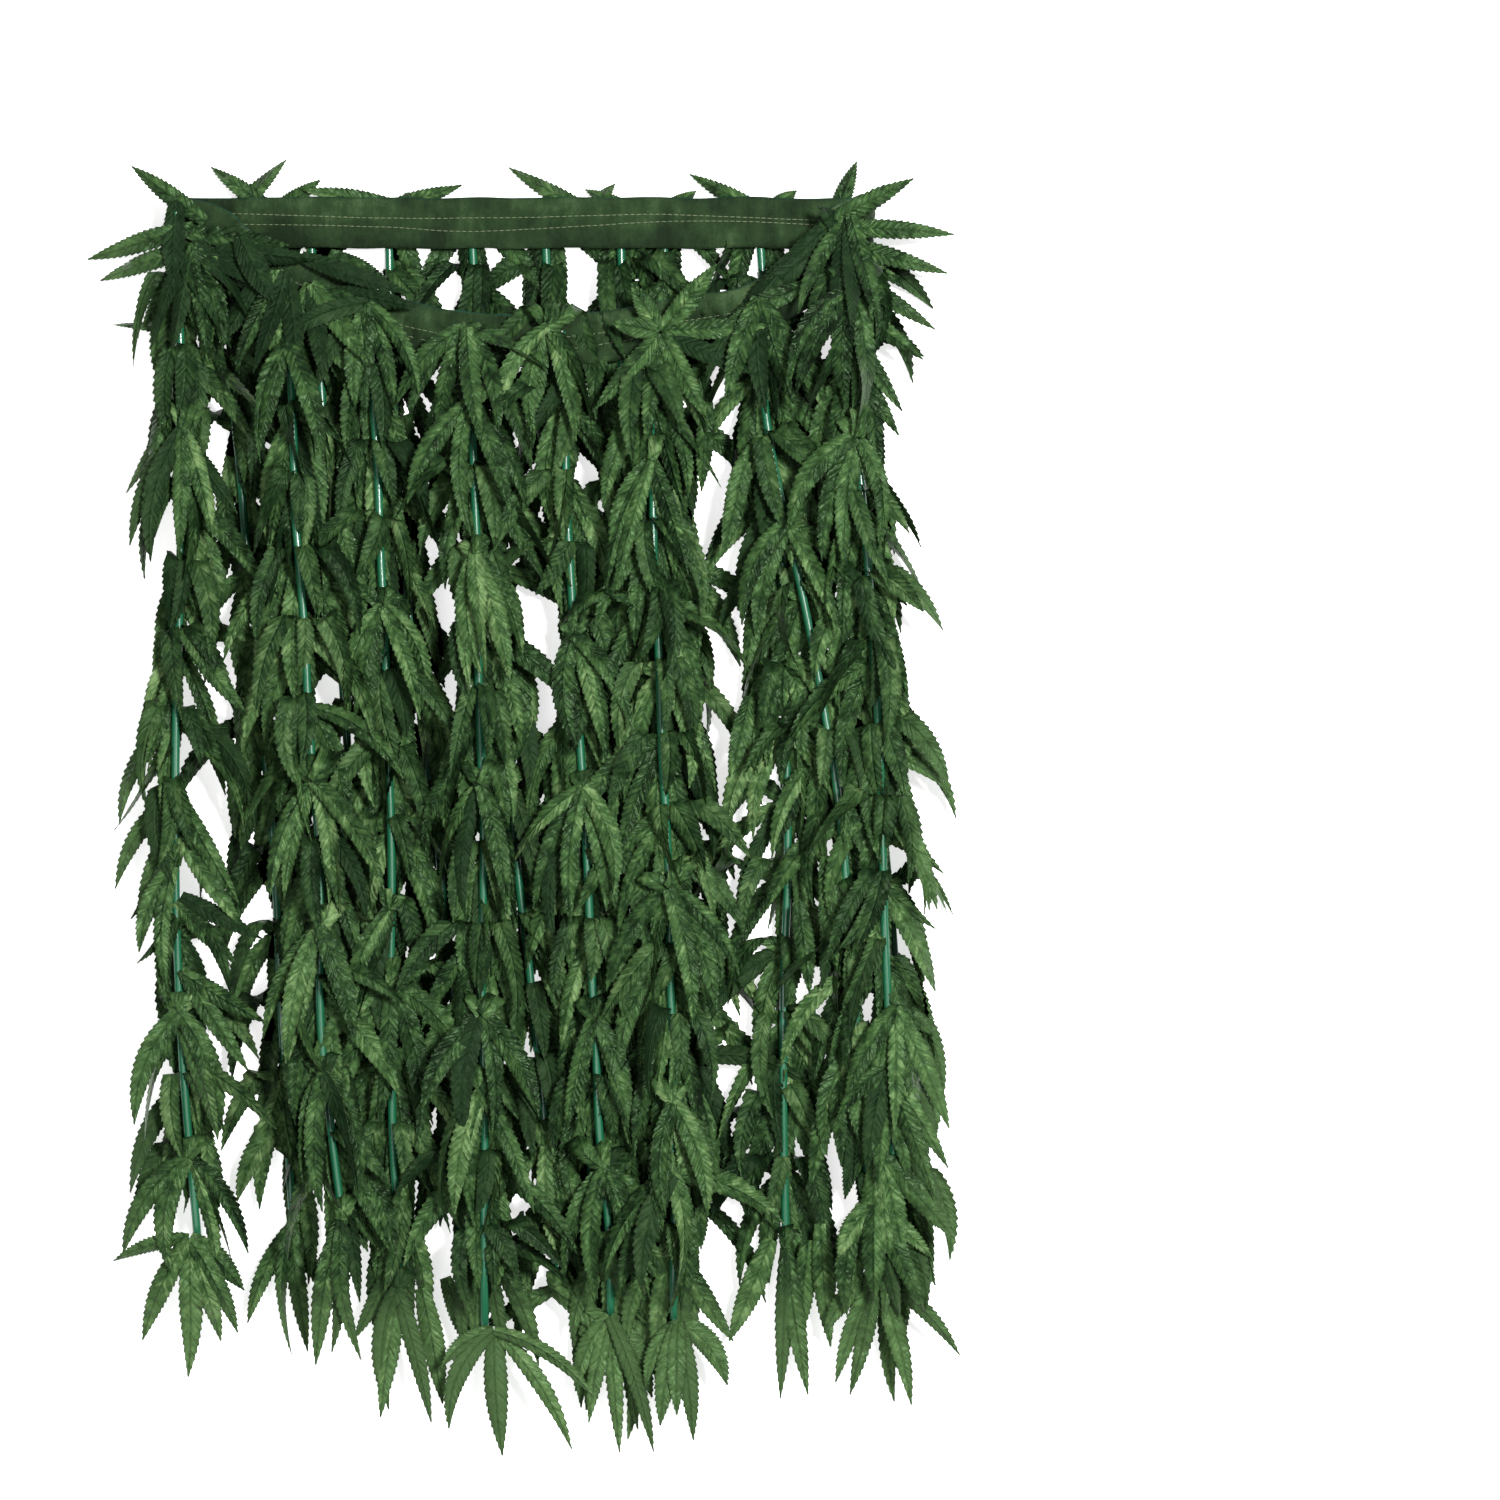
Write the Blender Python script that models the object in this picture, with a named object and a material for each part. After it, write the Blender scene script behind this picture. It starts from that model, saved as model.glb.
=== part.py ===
"""Costume leaf skirt laid flat: an elastic waistband with leaf garlands hanging from its two halves.

Metres, +Z up. The waist is towards +Y and the hem towards -Y. The back half of the band lies
straight with its garlands on the ground; the front half is folded over it at both ends, sags
towards the hem and carries its own garlands on top. A garland is a stem with a spray of
leaflets at every leaf, each leaflet drawn out of a wall of the stem.
"""
import math
import random

import bmesh
import bpy
from mathutils import Vector

MM = 0.001
CLEARANCE = 0.3 * MM

# Waistband, a flat casing of two layers of cloth round an elastic
BAND_WIDTH = 24 * MM
BAND_WALL = 1.8 * MM
BAND_LEFT = -165 * MM
BAND_RIGHT = 161 * MM
BAND_STEP = 6.8 * MM
PUCKER_HEIGHT = 0.5 * MM
PUCKER_LENGTH = 13.6 * MM
FOLD_PARTS = 6

# Stems and leaf sprays
STEM = 4 * MM
HUB_BLOCK = 8 * MM
LEAF_PITCH = 35 * MM
LEAF_THICKNESS = 1.2 * MM
LEAF_HALF_WIDTH = 6.5 * MM
SLENDERNESS = 0.15  # half width over length, on a short leaflet
WIDEST_AT = 0.42  # share of the length
LEAF_RISE = 0.066  # like shingles, a leaflet climbs over the next spray
TOP_LIFT = 1.0 * MM

# The lane that each garland's leaflets keep to
LANE_GAP = 1.2 * MM
WALL_GAP = 0.5 * MM
OUTER_REACH = 40 * MM
SKIRT_LEFT = -198 * MM
SKIRT_RIGHT = 207 * MM
GATHERED = 40 * MM  # below a garland's top, where its neighbours lie beside it
FAN_STEP = 25  # degrees between two leaflets of one side
LEAST_ANGLE = 12
EASY_ANGLE = 30
LEAST_LENGTH = 0.55
CLOSE_UP = 0.96
WIDE_ANGLE = 50  # a corner leaflet past this is free of the lanes

# Heights of the layers that lie on each other
LEVEL_HEIGHT = 8.7 * MM
LEVEL_RAMP = 34 * MM
BACK_HEIGHT = 0.0
BACK_BAND_HEIGHT = STEM + CLEARANCE
FRONT_BAND_HEIGHT = 2 * LEVEL_HEIGHT
FRONT_HEIGHT = FRONT_BAND_HEIGHT + BAND_WALL + PUCKER_HEIGHT + CLEARANCE
BACK_TOP = 6 * MM
FRONT_CLIMB = 14.4 * MM  # below a front garland's top, where it starts to climb

# Middle line of the sagging front half of the band
FRONT_BAND_LINE = [
    # across, below the top edge of the back half (mm)
    (-165, 13), (-150, 17), (-130, 34), (-94, 49), (-60, 62), (-22, 69), (17, 70),
    (55, 65), (84, 60), (113, 53), (140, 35), (152, 18), (161, 13),
]

# Where each garland lies, across the skirt, at six distances below the band's top edge
STATIONS = (22 * MM, 118 * MM, 214 * MM, 310 * MM, 406 * MM, 502 * MM)
GARLANDS = [
    # name, layer, level, last leaf below the top edge (mm), across at each station (mm)
    ("garland_back_1", "back", 0, 494, (-144, -139, -130, -122, -117, -112)),
    ("garland_back_2", "back", 1, 492, (-104, -96, -89, -83, -75, -67)),
    ("garland_back_3", "back", 0, 508, (-66, -63, -55, -43, -33, -31)),
    ("garland_back_4", "back", 1, 524, (-26, -19, -12, -5, 6, 14)),
    ("garland_back_5", "back", 0, 520, (10, 15, 20, 24, 29, 32)),
    ("garland_back_6", "back", 1, 526, (45, 47, 50, 52, 55, 58)),
    ("garland_back_7", "back", 0, 516, (67, 69, 73, 77, 79, 81)),
    ("garland_back_8", "back", 1, 504, (113, 119, 125, 126, 124, 125)),
    ("garland_back_9", "back", 0, 508, (150, 155, 163, 173, 180, 182)),
    ("garland_front_1", "front", 0, 494, (-166, -162, -165, -166, -163, -156)),
    ("garland_front_2", "front", 1, 488, (-114, -109, -104, -97, -95, -84)),
    ("garland_front_3", "front", 0, 522, (-75, -71, -66, -64, -63, -60)),
    ("garland_front_4", "front", 1, 536, (-29, -24, -21, -19, -19, -18)),
    ("garland_front_5", "front", 0, 537, (17, 20, 24, 30, 34, 41)),
    ("garland_front_6", "front", 1, 534, (58, 61, 64, 69, 71, 72)),
    ("garland_front_7", "front", 0, 515, (110, 118, 138, 152, 159, 166)),
    ("garland_front_8", "front", 1, 506, (156, 159, 167, 171, 174, 179)),
]

# Leaflets of one spray: 0 points down the stem, minus is left, plus is right
SPRAYS = {
    # wall of the stem, block of the hub, angle (degrees), length (mm)
    "front": [
        ("left", 0, -46, 57),
        ("right", 0, 46, 57),
        ("left", 1, -18, 26),
        ("right", 1, 18, 26),
        ("top", 0, 12, 52),
    ],
    "back": [
        ("left", 0, -40, 57),
        ("right", 0, 40, 57),
        ("top", 0, 12, 52),
    ],
}
# The first spray of a garland also points up, past the edge of the band
FIRST_SPRAY = [
    ("end", 0, 180, 24),
    ("left", 0, -146, 30),
    ("right", 0, 146, 30),
    ("left", 1, -34, 54),
    ("right", 1, 34, 54),
]
# The last spray hangs on past the end of the stem
LAST_SPRAY = [
    ("left", 0, -40, 57),
    ("right", 0, 40, 57),
    ("top", 0, 12, 50),
    ("cap", 0, 0, 57),
]
# The two outermost front garlands spread wide over the folded ends of the band
CORNER_SPRAYS = {
    "garland_front_1": [
        ("end", 0, 180, 24),
        ("left", 0, -142, 42),
        ("left", 1, -80, 41),
        ("left", 2, -56, 38),
        ("right", 1, 34, 54),
    ],
    "garland_front_8": [
        ("end", 0, 180, 34),
        ("right", 0, 136, 42),
        ("right", 1, 86, 45),
        ("right", 2, 58, 40),
        ("left", 1, -30, 54),
    ],
}
ANGLE_SPREAD = 4
LENGTH_SPREAD = 0.05
STRAIGHT_ACROSS = 90
STRAIGHT_UP = 180
LEAST_CROSSING = 0.2

LEAF_COLOUR = (0.045, 0.115, 0.038, 1.0)
BAND_COLOUR = (0.032, 0.085, 0.028, 1.0)


def clear_scene():
    for item in list(bpy.data.objects):
        bpy.data.objects.remove(item, do_unlink=True)


def new_collection(name):
    collection = bpy.data.collections.new(name)
    bpy.context.scene.collection.children.link(collection)
    return collection


def satin(name, colour, roughness):
    material = bpy.data.materials.new(name)
    material.use_nodes = True
    shader = material.node_tree.nodes["Principled BSDF"]
    shader.inputs["Base Color"].default_value = colour
    shader.inputs["Roughness"].default_value = roughness
    shader.inputs["Metallic"].default_value = 0.0
    return material


def through(places, values, place):
    """The smooth curve through values at rising places, level past its two ends."""
    if place <= places[0]:
        return values[0]
    if place >= places[-1]:
        return values[-1]
    i = max(k for k in range(len(places) - 1) if places[k] <= place)
    span = places[i + 1] - places[i]
    t = (place - places[i]) / span

    def slope(k):
        low = max(k - 1, 0)
        high = min(k + 1, len(places) - 1)
        return (values[high] - values[low]) / (places[high] - places[low])

    start = values[i] * (2 * t**3 - 3 * t**2 + 1) + slope(i) * span * (t**3 - 2 * t**2 + t)
    end = values[i + 1] * (3 * t**2 - 2 * t**3) + slope(i + 1) * span * (t**3 - t**2)
    return start + end


def ease(t):
    t = min(max(t, 0.0), 1.0)
    return t * t * (3 - 2 * t)


def front_band_down(across):
    """How far below the top edge the middle of the front band lies."""
    places = [row[0] * MM for row in FRONT_BAND_LINE]
    values = [row[1] * MM for row in FRONT_BAND_LINE]
    return through(places, values, across)


class Garland:
    """The course of one garland, from its top at the band to its last leaf."""

    def __init__(self, row, number):
        self.name, self.layer, self.level, last, across = row
        self.across_at = [value * MM for value in across]
        self.last = last * MM
        if self.layer == "front":
            self.top = front_band_down(self.across_at[0]) - 0.5 * HUB_BLOCK
            self.ramp_start = self.top + FRONT_CLIMB
            self.base = FRONT_HEIGHT
        else:
            self.top = BACK_TOP
            self.ramp_start = BAND_WIDTH + 2 * HUB_BLOCK
            self.base = BACK_HEIGHT
        self.draw = random.Random(number)

    def across(self, down):
        return through(STATIONS, self.across_at, down)

    def height(self, down):
        return self.base + self.level * LEVEL_HEIGHT * ease((down - self.ramp_start) / LEVEL_RAMP)

    def spot(self, down):
        """Middle of the stem at a distance below the band's top edge."""
        return Vector((self.across(down), -down, self.height(down) + STEM / 2))

    def lean(self, down):
        """The way the stem runs here, as an angle off straight down."""
        ahead = LEAF_PITCH
        return math.atan2(self.across(down + ahead) - self.across(down), ahead)

    def beneath_band(self, down):
        return self.layer == "back" and down < BAND_WIDTH + HUB_BLOCK

    def climbing(self, down):
        """Whether the stem is on its way up to lie on the garlands of the lower level."""
        ramp = down - self.ramp_start
        return self.level == 1 and -LEAF_PITCH < ramp < LEVEL_RAMP

    def leaf_places(self):
        count = round((self.last - self.top) / LEAF_PITCH)
        pitch = (self.last - self.top) / count
        return [self.top + k * pitch for k in range(count + 1)]

    def room(self, down, side):
        """How far a leaflet may reach to this side before it meets the next garland's."""
        gathered = down < self.top + GATHERED
        here = self.across(down)
        edge = SKIRT_RIGHT if side > 0 else SKIRT_LEFT
        reach = min(OUTER_REACH, abs(edge - here))
        for other in COURSES:
            same = other.layer == self.layer and other is not self
            if not same or (other.level != self.level and not gathered):
                continue
            gap = (other.across(down) - here) * side
            if gap > 0:
                reach = min(reach, gap / 2 - LANE_GAP)
        if gathered and self.layer == "back":
            edge = BAND_RIGHT if side > 0 else BAND_LEFT
            reach = min(reach, abs(edge - here) - LANE_GAP)
        return reach


def mesh_object(bm, name, material, collection):
    bmesh.ops.recalc_face_normals(bm, faces=bm.faces)
    mesh = bpy.data.meshes.new(name)
    bm.to_mesh(mesh)
    bm.free()
    mesh.materials.append(material)
    item = bpy.data.objects.new(name, mesh)
    collection.objects.link(item)
    return item


def first_block(bm, start, end):
    """A box between two section middles of a stem; returns its walls by side."""
    bmesh.ops.create_cube(bm, size=1.0)
    for vert in bm.verts:
        spot = start if vert.co.y > 0 else end
        vert.co = spot + Vector((math.copysign(STEM / 2, vert.co.x), 0, math.copysign(STEM / 2, vert.co.z)))
    bm.normal_update()
    walls = {}
    for face in bm.faces:
        walls[side_of(face.normal)] = face
    return walls


def side_of(normal):
    sides = {
        "left": Vector((-1, 0, 0)), "right": Vector((1, 0, 0)), "top": Vector((0, 0, 1)),
        "under": Vector((0, 0, -1)), "cap": Vector((0, -1, 0)), "end": Vector((0, 1, 0)),
    }
    return max(sides, key=lambda side: sides[side].dot(normal))


def next_block(bm, cap, spot):
    """Extrude the stem's lower end to the next section; returns the new walls by side."""
    middle = cap.calc_center_median()
    cap = bmesh.ops.extrude_discrete_faces(bm, faces=[cap])["faces"][0]
    for vert in cap.verts:
        away = vert.co - middle
        vert.co = spot + Vector((math.copysign(STEM / 2, away.x), 0, math.copysign(STEM / 2, away.z)))
    walls = {"cap": cap}
    for edge in cap.edges:
        wall = next(face for face in edge.link_faces if face != cap)
        wall.normal_update()
        walls[side_of(wall.normal)] = wall
    return walls


def draw_leaflet(bm, root, side, angle, lean, length, course):
    """Draw one leaflet out of a wall of the stem, out to its widest and in to a point."""
    middle = root.calc_center_median()
    along = math.radians(angle + lean)
    out = Vector((math.sin(along), -math.cos(along), 0))
    turn = -1 if side in ("left", "end") else 1
    across = Vector((math.cos(along), math.sin(along), 0)) * turn
    above_stem = middle.z - course.height(-middle.y) + (TOP_LIFT if side == "top" else 0.0)
    half = min(LEAF_HALF_WIDTH, SLENDERNESS * length)
    if side in ("left", "right"):
        aside = abs(math.sin(math.radians(angle))) * length * WIDEST_AT - WALL_GAP
        half = min(half, aside / max(abs(math.cos(math.radians(angle))), LEAST_CROSSING))

    def place(share):
        spot = middle + out * length * share
        rise = LEAF_RISE * length * share if abs(angle) < STRAIGHT_ACROSS else 0.0
        spot.z = course.height(-spot.y) + above_stem + rise
        return spot

    blade = bmesh.ops.extrude_discrete_faces(bm, faces=[root])["faces"][0]
    widest = place(WIDEST_AT)
    for vert in blade.verts:
        away = vert.co - middle
        if side == "top":
            wide, tall = away.x, away.y
        elif side in ("end", "cap"):
            wide, tall = away.x, away.z
        else:
            wide, tall = away.y, away.z
        vert.co = widest + across * math.copysign(half, wide)
        vert.co.z += math.copysign(LEAF_THICKNESS / 2, tall)
    tip = bmesh.ops.extrude_discrete_faces(bm, faces=[blade])["faces"][0]
    bmesh.ops.pointmerge(bm, verts=list(tip.verts), merge_co=place(1.0))


def fits(course, down, turned, length):
    """Whether a leaflet's tip keeps to the garland's own lane."""
    side = 1 if turned > 0 else -1
    turned = math.radians(turned) + course.lean(down)
    tip_down = down + length * math.cos(turned)
    tip = course.across(down) + length * math.sin(turned) + side * STEM / 2
    room = min(course.room(down, side), course.room(tip_down, side))
    return (tip - course.across(tip_down)) * side < room


def fitted(course, down, angle, length):
    """Close a leaflet up, then shorten it, until it keeps to its lane."""
    if abs(angle) > STRAIGHT_ACROSS:
        upright = math.copysign(STRAIGHT_UP, angle)
        closed, length = fitted(course, down, upright - angle, length)
        return upright - closed, length
    shortest = LEAST_LENGTH * length
    while not fits(course, down, angle, length):
        if abs(angle) > EASY_ANGLE or (length <= shortest and abs(angle) > LEAST_ANGLE):
            angle *= CLOSE_UP
        elif length > shortest:
            length *= CLOSE_UP
        else:
            break
    return angle, length


def spray_at(course, number, is_last):
    """The leaflets that are drawn at one leaf of a garland."""
    if number == 0:
        return CORNER_SPRAYS.get(course.name, FIRST_SPRAY)
    return LAST_SPRAY if is_last else SPRAYS[course.layer]


def draw_hub(bm, cap, course, down, spray):
    """Carry the stem on through one leaf; returns the walls of its blocks, from the top."""
    if cap:
        cap = next_block(bm, cap, course.spot(down))["cap"]
    blocks = []
    for block in range(1 + max(row[1] for row in spray)):
        end = course.spot(down + (block + 1) * HUB_BLOCK)
        if cap:
            walls = next_block(bm, cap, end)
        else:
            walls = first_block(bm, course.spot(down), end)
        cap = walls["cap"]
        blocks.append(walls)
    return blocks


def draw_spray(bm, blocks, course, number, down, spray):
    """Draw the leaflets of one leaf out of its walls, each clear of the one before it."""
    is_corner = number == 0 and course.name in CORNER_SPRAYS
    opened = {}
    for side, block, angle, length in spray:
        length *= MM * (1 + course.draw.uniform(-LENGTH_SPREAD, LENGTH_SPREAD))
        angle += course.draw.uniform(-ANGLE_SPREAD, ANGLE_SPREAD)
        root_down = down + (block + 0.5) * HUB_BLOCK
        lean = math.degrees(course.lean(root_down))
        if side == "top":
            angle = angle if number % 2 else -angle
            if course.beneath_band(root_down) or course.climbing(root_down):
                continue
        elif side in ("left", "right") and not (is_corner and abs(angle) > WIDE_ANGLE):
            angle, length = fitted(course, root_down, angle, length)
            widest = opened.get(side, STRAIGHT_ACROSS) - FAN_STEP
            if widest < LEAST_ANGLE:
                continue
            if number > 0:
                angle = math.copysign(min(abs(angle), widest), angle)
                opened[side] = abs(angle)
        if abs(angle) > STRAIGHT_ACROSS:
            lean = 0.0
        draw_leaflet(bm, blocks[block][side], side, angle, lean, length, course)


def make_garland(course, material, collection):
    bm = bmesh.new()
    cap = None
    places = course.leaf_places()
    for number, down in enumerate(places):
        spray = spray_at(course, number, down == places[-1])
        blocks = draw_hub(bm, cap, course, down, spray)
        cap = blocks[-1]["cap"]
        draw_spray(bm, blocks, course, number, down, spray)
    return mesh_object(bm, course.name, material, collection)


def make_strip(name, sections, material, collection):
    """A flat strip of cloth through a row of sections, each a middle, its width and its up."""
    bm = bmesh.new()
    bmesh.ops.create_cube(bm, size=1.0)

    def corner(section, wide, tall):
        middle, across, up, pucker = section
        height = BAND_WALL / 2 + (pucker if tall > 0 else 0.0)
        return middle + across * math.copysign(BAND_WIDTH / 2, wide) + up * math.copysign(height, tall)

    for vert in bm.verts:
        section = sections[0] if vert.co.x < 0 else sections[1]
        vert.co = corner(section, vert.co.y, vert.co.z)
    bm.normal_update()
    ahead = sections[1][0] - sections[0][0]
    cap = max(bm.faces, key=lambda face: face.normal.dot(ahead))
    for old, new in zip(sections[1:], sections[2:]):
        cap = bmesh.ops.extrude_discrete_faces(bm, faces=[cap])["faces"][0]
        for vert in cap.verts:
            away = vert.co - old[0]
            vert.co = corner(new, away.dot(old[1]), away.dot(old[2]))
    return mesh_object(bm, name, material, collection)


def pucker(distance):
    return PUCKER_HEIGHT * (0.5 - 0.5 * math.cos(2 * math.pi * distance / PUCKER_LENGTH))


def back_band_sections():
    count = round((BAND_RIGHT - BAND_LEFT) / BAND_STEP)
    sections = []
    for k in range(count + 1):
        across = BAND_LEFT + (BAND_RIGHT - BAND_LEFT) * k / count
        middle = Vector((across, -BAND_WIDTH / 2, BACK_BAND_HEIGHT + BAND_WALL / 2))
        sections.append((middle, Vector((0, 1, 0)), Vector((0, 0, 1)), pucker(k * BAND_STEP)))
    return sections


def front_band_sections():
    """Up round the left fold, along the sagging line and down round the right fold."""
    low = BACK_BAND_HEIGHT + BAND_WALL / 2
    high = FRONT_BAND_HEIGHT + BAND_WALL / 2
    radius = (high - low) / 2
    wide = Vector((0, 1, 0))

    def fold(edge, side, turn):
        swing = math.pi * turn
        away = Vector((side * math.sin(swing), 0, -math.cos(swing)))
        middle = Vector((edge, -BAND_WIDTH / 2, low + radius)) + away * radius
        return (middle, wide, away, 0.0)

    left = BAND_LEFT - CLEARANCE
    right = BAND_RIGHT + CLEARANCE
    sections = [fold(left, -1, k / FOLD_PARTS) for k in range(FOLD_PARTS + 1)]
    count = round((right - left) / BAND_STEP)
    for k in range(1, count):
        across = left + (right - left) * k / count
        step = BAND_STEP / 4
        down = front_band_down(across)
        slope = (front_band_down(across + step) - front_band_down(across - step)) / (2 * step)
        along = Vector((1, -slope, 0)).normalized()
        middle = Vector((across, -down, high))
        sections.append((middle, Vector((-along.y, along.x, 0)), Vector((0, 0, 1)), pucker(k * BAND_STEP)))
    sections += [fold(right, 1, 1 - k / FOLD_PARTS) for k in range(FOLD_PARTS + 1)]
    return sections


def centre_on_origin(items, collection):
    """Hang every piece on one empty that stands the skirt's middle over the origin."""
    corners = [vert.co for item in items for vert in item.data.vertices]
    low = [min(corner[axis] for corner in corners) for axis in range(3)]
    high = [max(corner[axis] for corner in corners) for axis in range(3)]
    origin = bpy.data.objects.new("skirt_origin", None)
    collection.objects.link(origin)
    origin.location = (-(low[0] + high[0]) / 2, -(low[1] + high[1]) / 2, -low[2])
    for item in items:
        item.parent = origin


clear_scene()
skirt = new_collection("leaf_skirt")
leaf_satin = satin("leaf_satin", LEAF_COLOUR, 0.45)
band_cloth = satin("band_cloth", BAND_COLOUR, 0.75)
COURSES = [Garland(row, number) for number, row in enumerate(GARLANDS)]

pieces = [make_strip("waistband_back", back_band_sections(), band_cloth, skirt)]
pieces.append(make_strip("waistband_front", front_band_sections(), band_cloth, skirt))
for garland_course in COURSES:
    pieces.append(make_garland(garland_course, leaf_satin, skirt))
centre_on_origin(pieces, skirt)
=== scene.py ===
"""Costume leaf skirt laid flat: satin leaf garlands on plastic tubes under a sewn waistband.

Metres, +Z up, the waist towards +Y and the hem towards -Y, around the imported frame. Places on
the skirt are given as across, from its middle line, and down, below the band's top edge. A
leaflet is first drawn flat on the plane of its hand, then folded over the tube with that hand,
and last laid on the skirt at its garland's height.
"""

import math
import random

import bmesh
import bpy
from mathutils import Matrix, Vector, noise


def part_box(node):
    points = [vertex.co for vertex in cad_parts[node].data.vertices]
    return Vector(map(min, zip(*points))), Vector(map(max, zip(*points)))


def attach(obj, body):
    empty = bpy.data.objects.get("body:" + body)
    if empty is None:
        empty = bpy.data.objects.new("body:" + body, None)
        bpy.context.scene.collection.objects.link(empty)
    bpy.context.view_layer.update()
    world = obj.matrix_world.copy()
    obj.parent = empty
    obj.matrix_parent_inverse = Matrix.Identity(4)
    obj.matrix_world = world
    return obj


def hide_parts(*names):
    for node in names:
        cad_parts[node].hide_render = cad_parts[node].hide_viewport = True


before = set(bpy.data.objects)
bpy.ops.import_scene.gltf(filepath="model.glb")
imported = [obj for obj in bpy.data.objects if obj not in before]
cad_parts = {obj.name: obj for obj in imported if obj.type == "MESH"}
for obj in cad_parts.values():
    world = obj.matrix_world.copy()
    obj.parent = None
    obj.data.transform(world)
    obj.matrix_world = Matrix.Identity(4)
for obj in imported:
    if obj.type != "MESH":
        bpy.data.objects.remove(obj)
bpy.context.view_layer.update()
scene = bpy.context.scene

MM = 0.001

# Waistband, the same casing as the frame's
BAND_WIDTH = 24 * MM
BAND_WALL = 1.8 * MM
BAND_LEFT = -165 * MM
BAND_RIGHT = 161 * MM
BAND_CLEARANCE = 0.3 * MM
BAND_STEP = 2 * MM
BAND_PARTS = 14  # across the casing
FOLD_PARTS = 14
GATHER = 0.8 * MM
GATHER_LENGTH = 8 * MM
SLACK_LENGTH = 40 * MM
CRUMPLE = 3.4 * MM  # the slack front half
CRUMPLE_LENGTH = 17 * MM
EDGE_WAVE = 0.9 * MM
EDGE_WAVE_LENGTH = 26 * MM
TAKEN_UP = 1.02  # flat size over the size laid, for the puckers
SHELL_SHARE = 0.8  # of the band's wall that its cloth takes
CASING_CROWN = 0.5 * MM
SEAM_DEPTH = 0.5 * MM
SEAM_HALF_WIDTH = 1.3 * MM
STITCH = 2.95 * MM
STITCH_PITCH = 3.0 * MM
THREAD = 0.36 * MM
THREAD_RISE = 0.35 * THREAD
BACK_STITCHED = (20 * MM, 318 * MM)  # where the rows of stitching start and end
FRONT_STITCHED = (60 * MM, 370 * MM)
WAVE_SEED, SLACK_SEED, FOLD_SEED, CREASE_SEED, EDGE_SEED = 3.1, 9.2, 5.7, 1.3, 8.8

# Tubes
STEM = 4 * MM
TUBE_SIDES = 12
TUBE_STEP = 6 * MM
TUBE_WANDER = 1.3 * MM
WANDER_LENGTH = 60 * MM
HUB_BLOCK = 8 * MM

# Leaflets, cut from satin with a toothed edge
LEAF_PITCH = 35 * MM
BLADE_LENGTH = 61 * MM
BLADE_HALF_WIDTH = 5.3 * MM
BLADE_ROWS = 36  # two to a tooth
TOOTH_DEPTH = 0.8 * MM
TOOTH_LEAN = 0.9 * MM
WIDEST_AT = 0.42  # share of the length
BLUNTNESS = 1.85
ROOT_WIDTH = 0.62  # share of the full width
RIPPLE = 1.3 * MM
RIPPLE_LENGTH = 13 * MM
STACK = 0.8 * MM  # between two leaflets of a hand
UNDER_STACK = 0.3  # share of it behind the tube
ROLL_RATE = 1.6  # how soon a leaflet takes up its roll
KEEL = (-0.35, 0.75)  # slope of a leaflet's halves, away from its rib
DIP = (-0.07, 0.1)  # how far a leaflet sinks or rises along its length

# How a hand folds over its tube and climbs over the next one
FOLD_RADIUS = STEM / 2 + 0.4 * MM
FOLD_ABOVE = (3 * MM, 7 * MM)
SHINGLE = 3.4 * MM
SHINGLE_RUN = 30 * MM
CLIMB_BEHIND = 0.35  # share of the climb behind the tube

# Heights of the layers that lie on each other
LEVEL_HEIGHT = 8.7 * MM
LEVEL_RAMP = 34 * MM
BACK_BAND_HEIGHT = STEM + BAND_CLEARANCE
FRONT_BAND_HEIGHT = 2 * LEVEL_HEIGHT
FRONT_HEIGHT = FRONT_BAND_HEIGHT + BAND_WALL + 0.8 * MM
BACK_TOP = 6 * MM
FRONT_CLIMB = 14.4 * MM
FLOOR_GAP = 0.3 * MM
CEILING = 46 * MM
SKIRT_LEFT = -172 * MM  # past here leaflets droop to the ground
SKIRT_RIGHT = 180 * MM
SKIRT_HEM = 512 * MM
DROOP_RUN = 42 * MM
DROOP = 0.35
PAINTED_LIGHT_MARGIN = 4 * MM  # leaflets past the sides catch more light, painted in as a paler green
PAINTED_LIGHT_RUN = 30 * MM

# Two rows of stitching on the back half: distance from its left end, and above its middle line (mm)
BACK_SEAMS = [
    [(15, 4.8), (92, 2.4), (162, 2.6), (230, 4.0), (277, 2.3), (313, 1.0)],
    [(23, -0.5), (97, -1.9), (136, -4.1), (162, -3.1), (195, -1.4), (230, 0.6), (266, 0.8), (315, -1.4)],
]
# The two on the front half: above its middle line, and how far and how fast they sway (mm)
FRONT_SEAMS = [(1.0, 0.9, 30), (-3.6, 0.8, 37)]

# Middle line of the sagging front half of the band
FRONT_BAND_LINE = [
    # across, below the top edge of the back half (mm)
    (-165, 13), (-150, 17), (-130, 34), (-94, 49), (-60, 62), (-22, 69), (17, 70),
    (55, 65), (84, 60), (113, 53), (140, 35), (152, 18), (161, 13),
]

# Where each garland lies, across the skirt, at six distances below the band's top edge
STATIONS = (22 * MM, 118 * MM, 214 * MM, 310 * MM, 406 * MM, 502 * MM)
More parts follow.
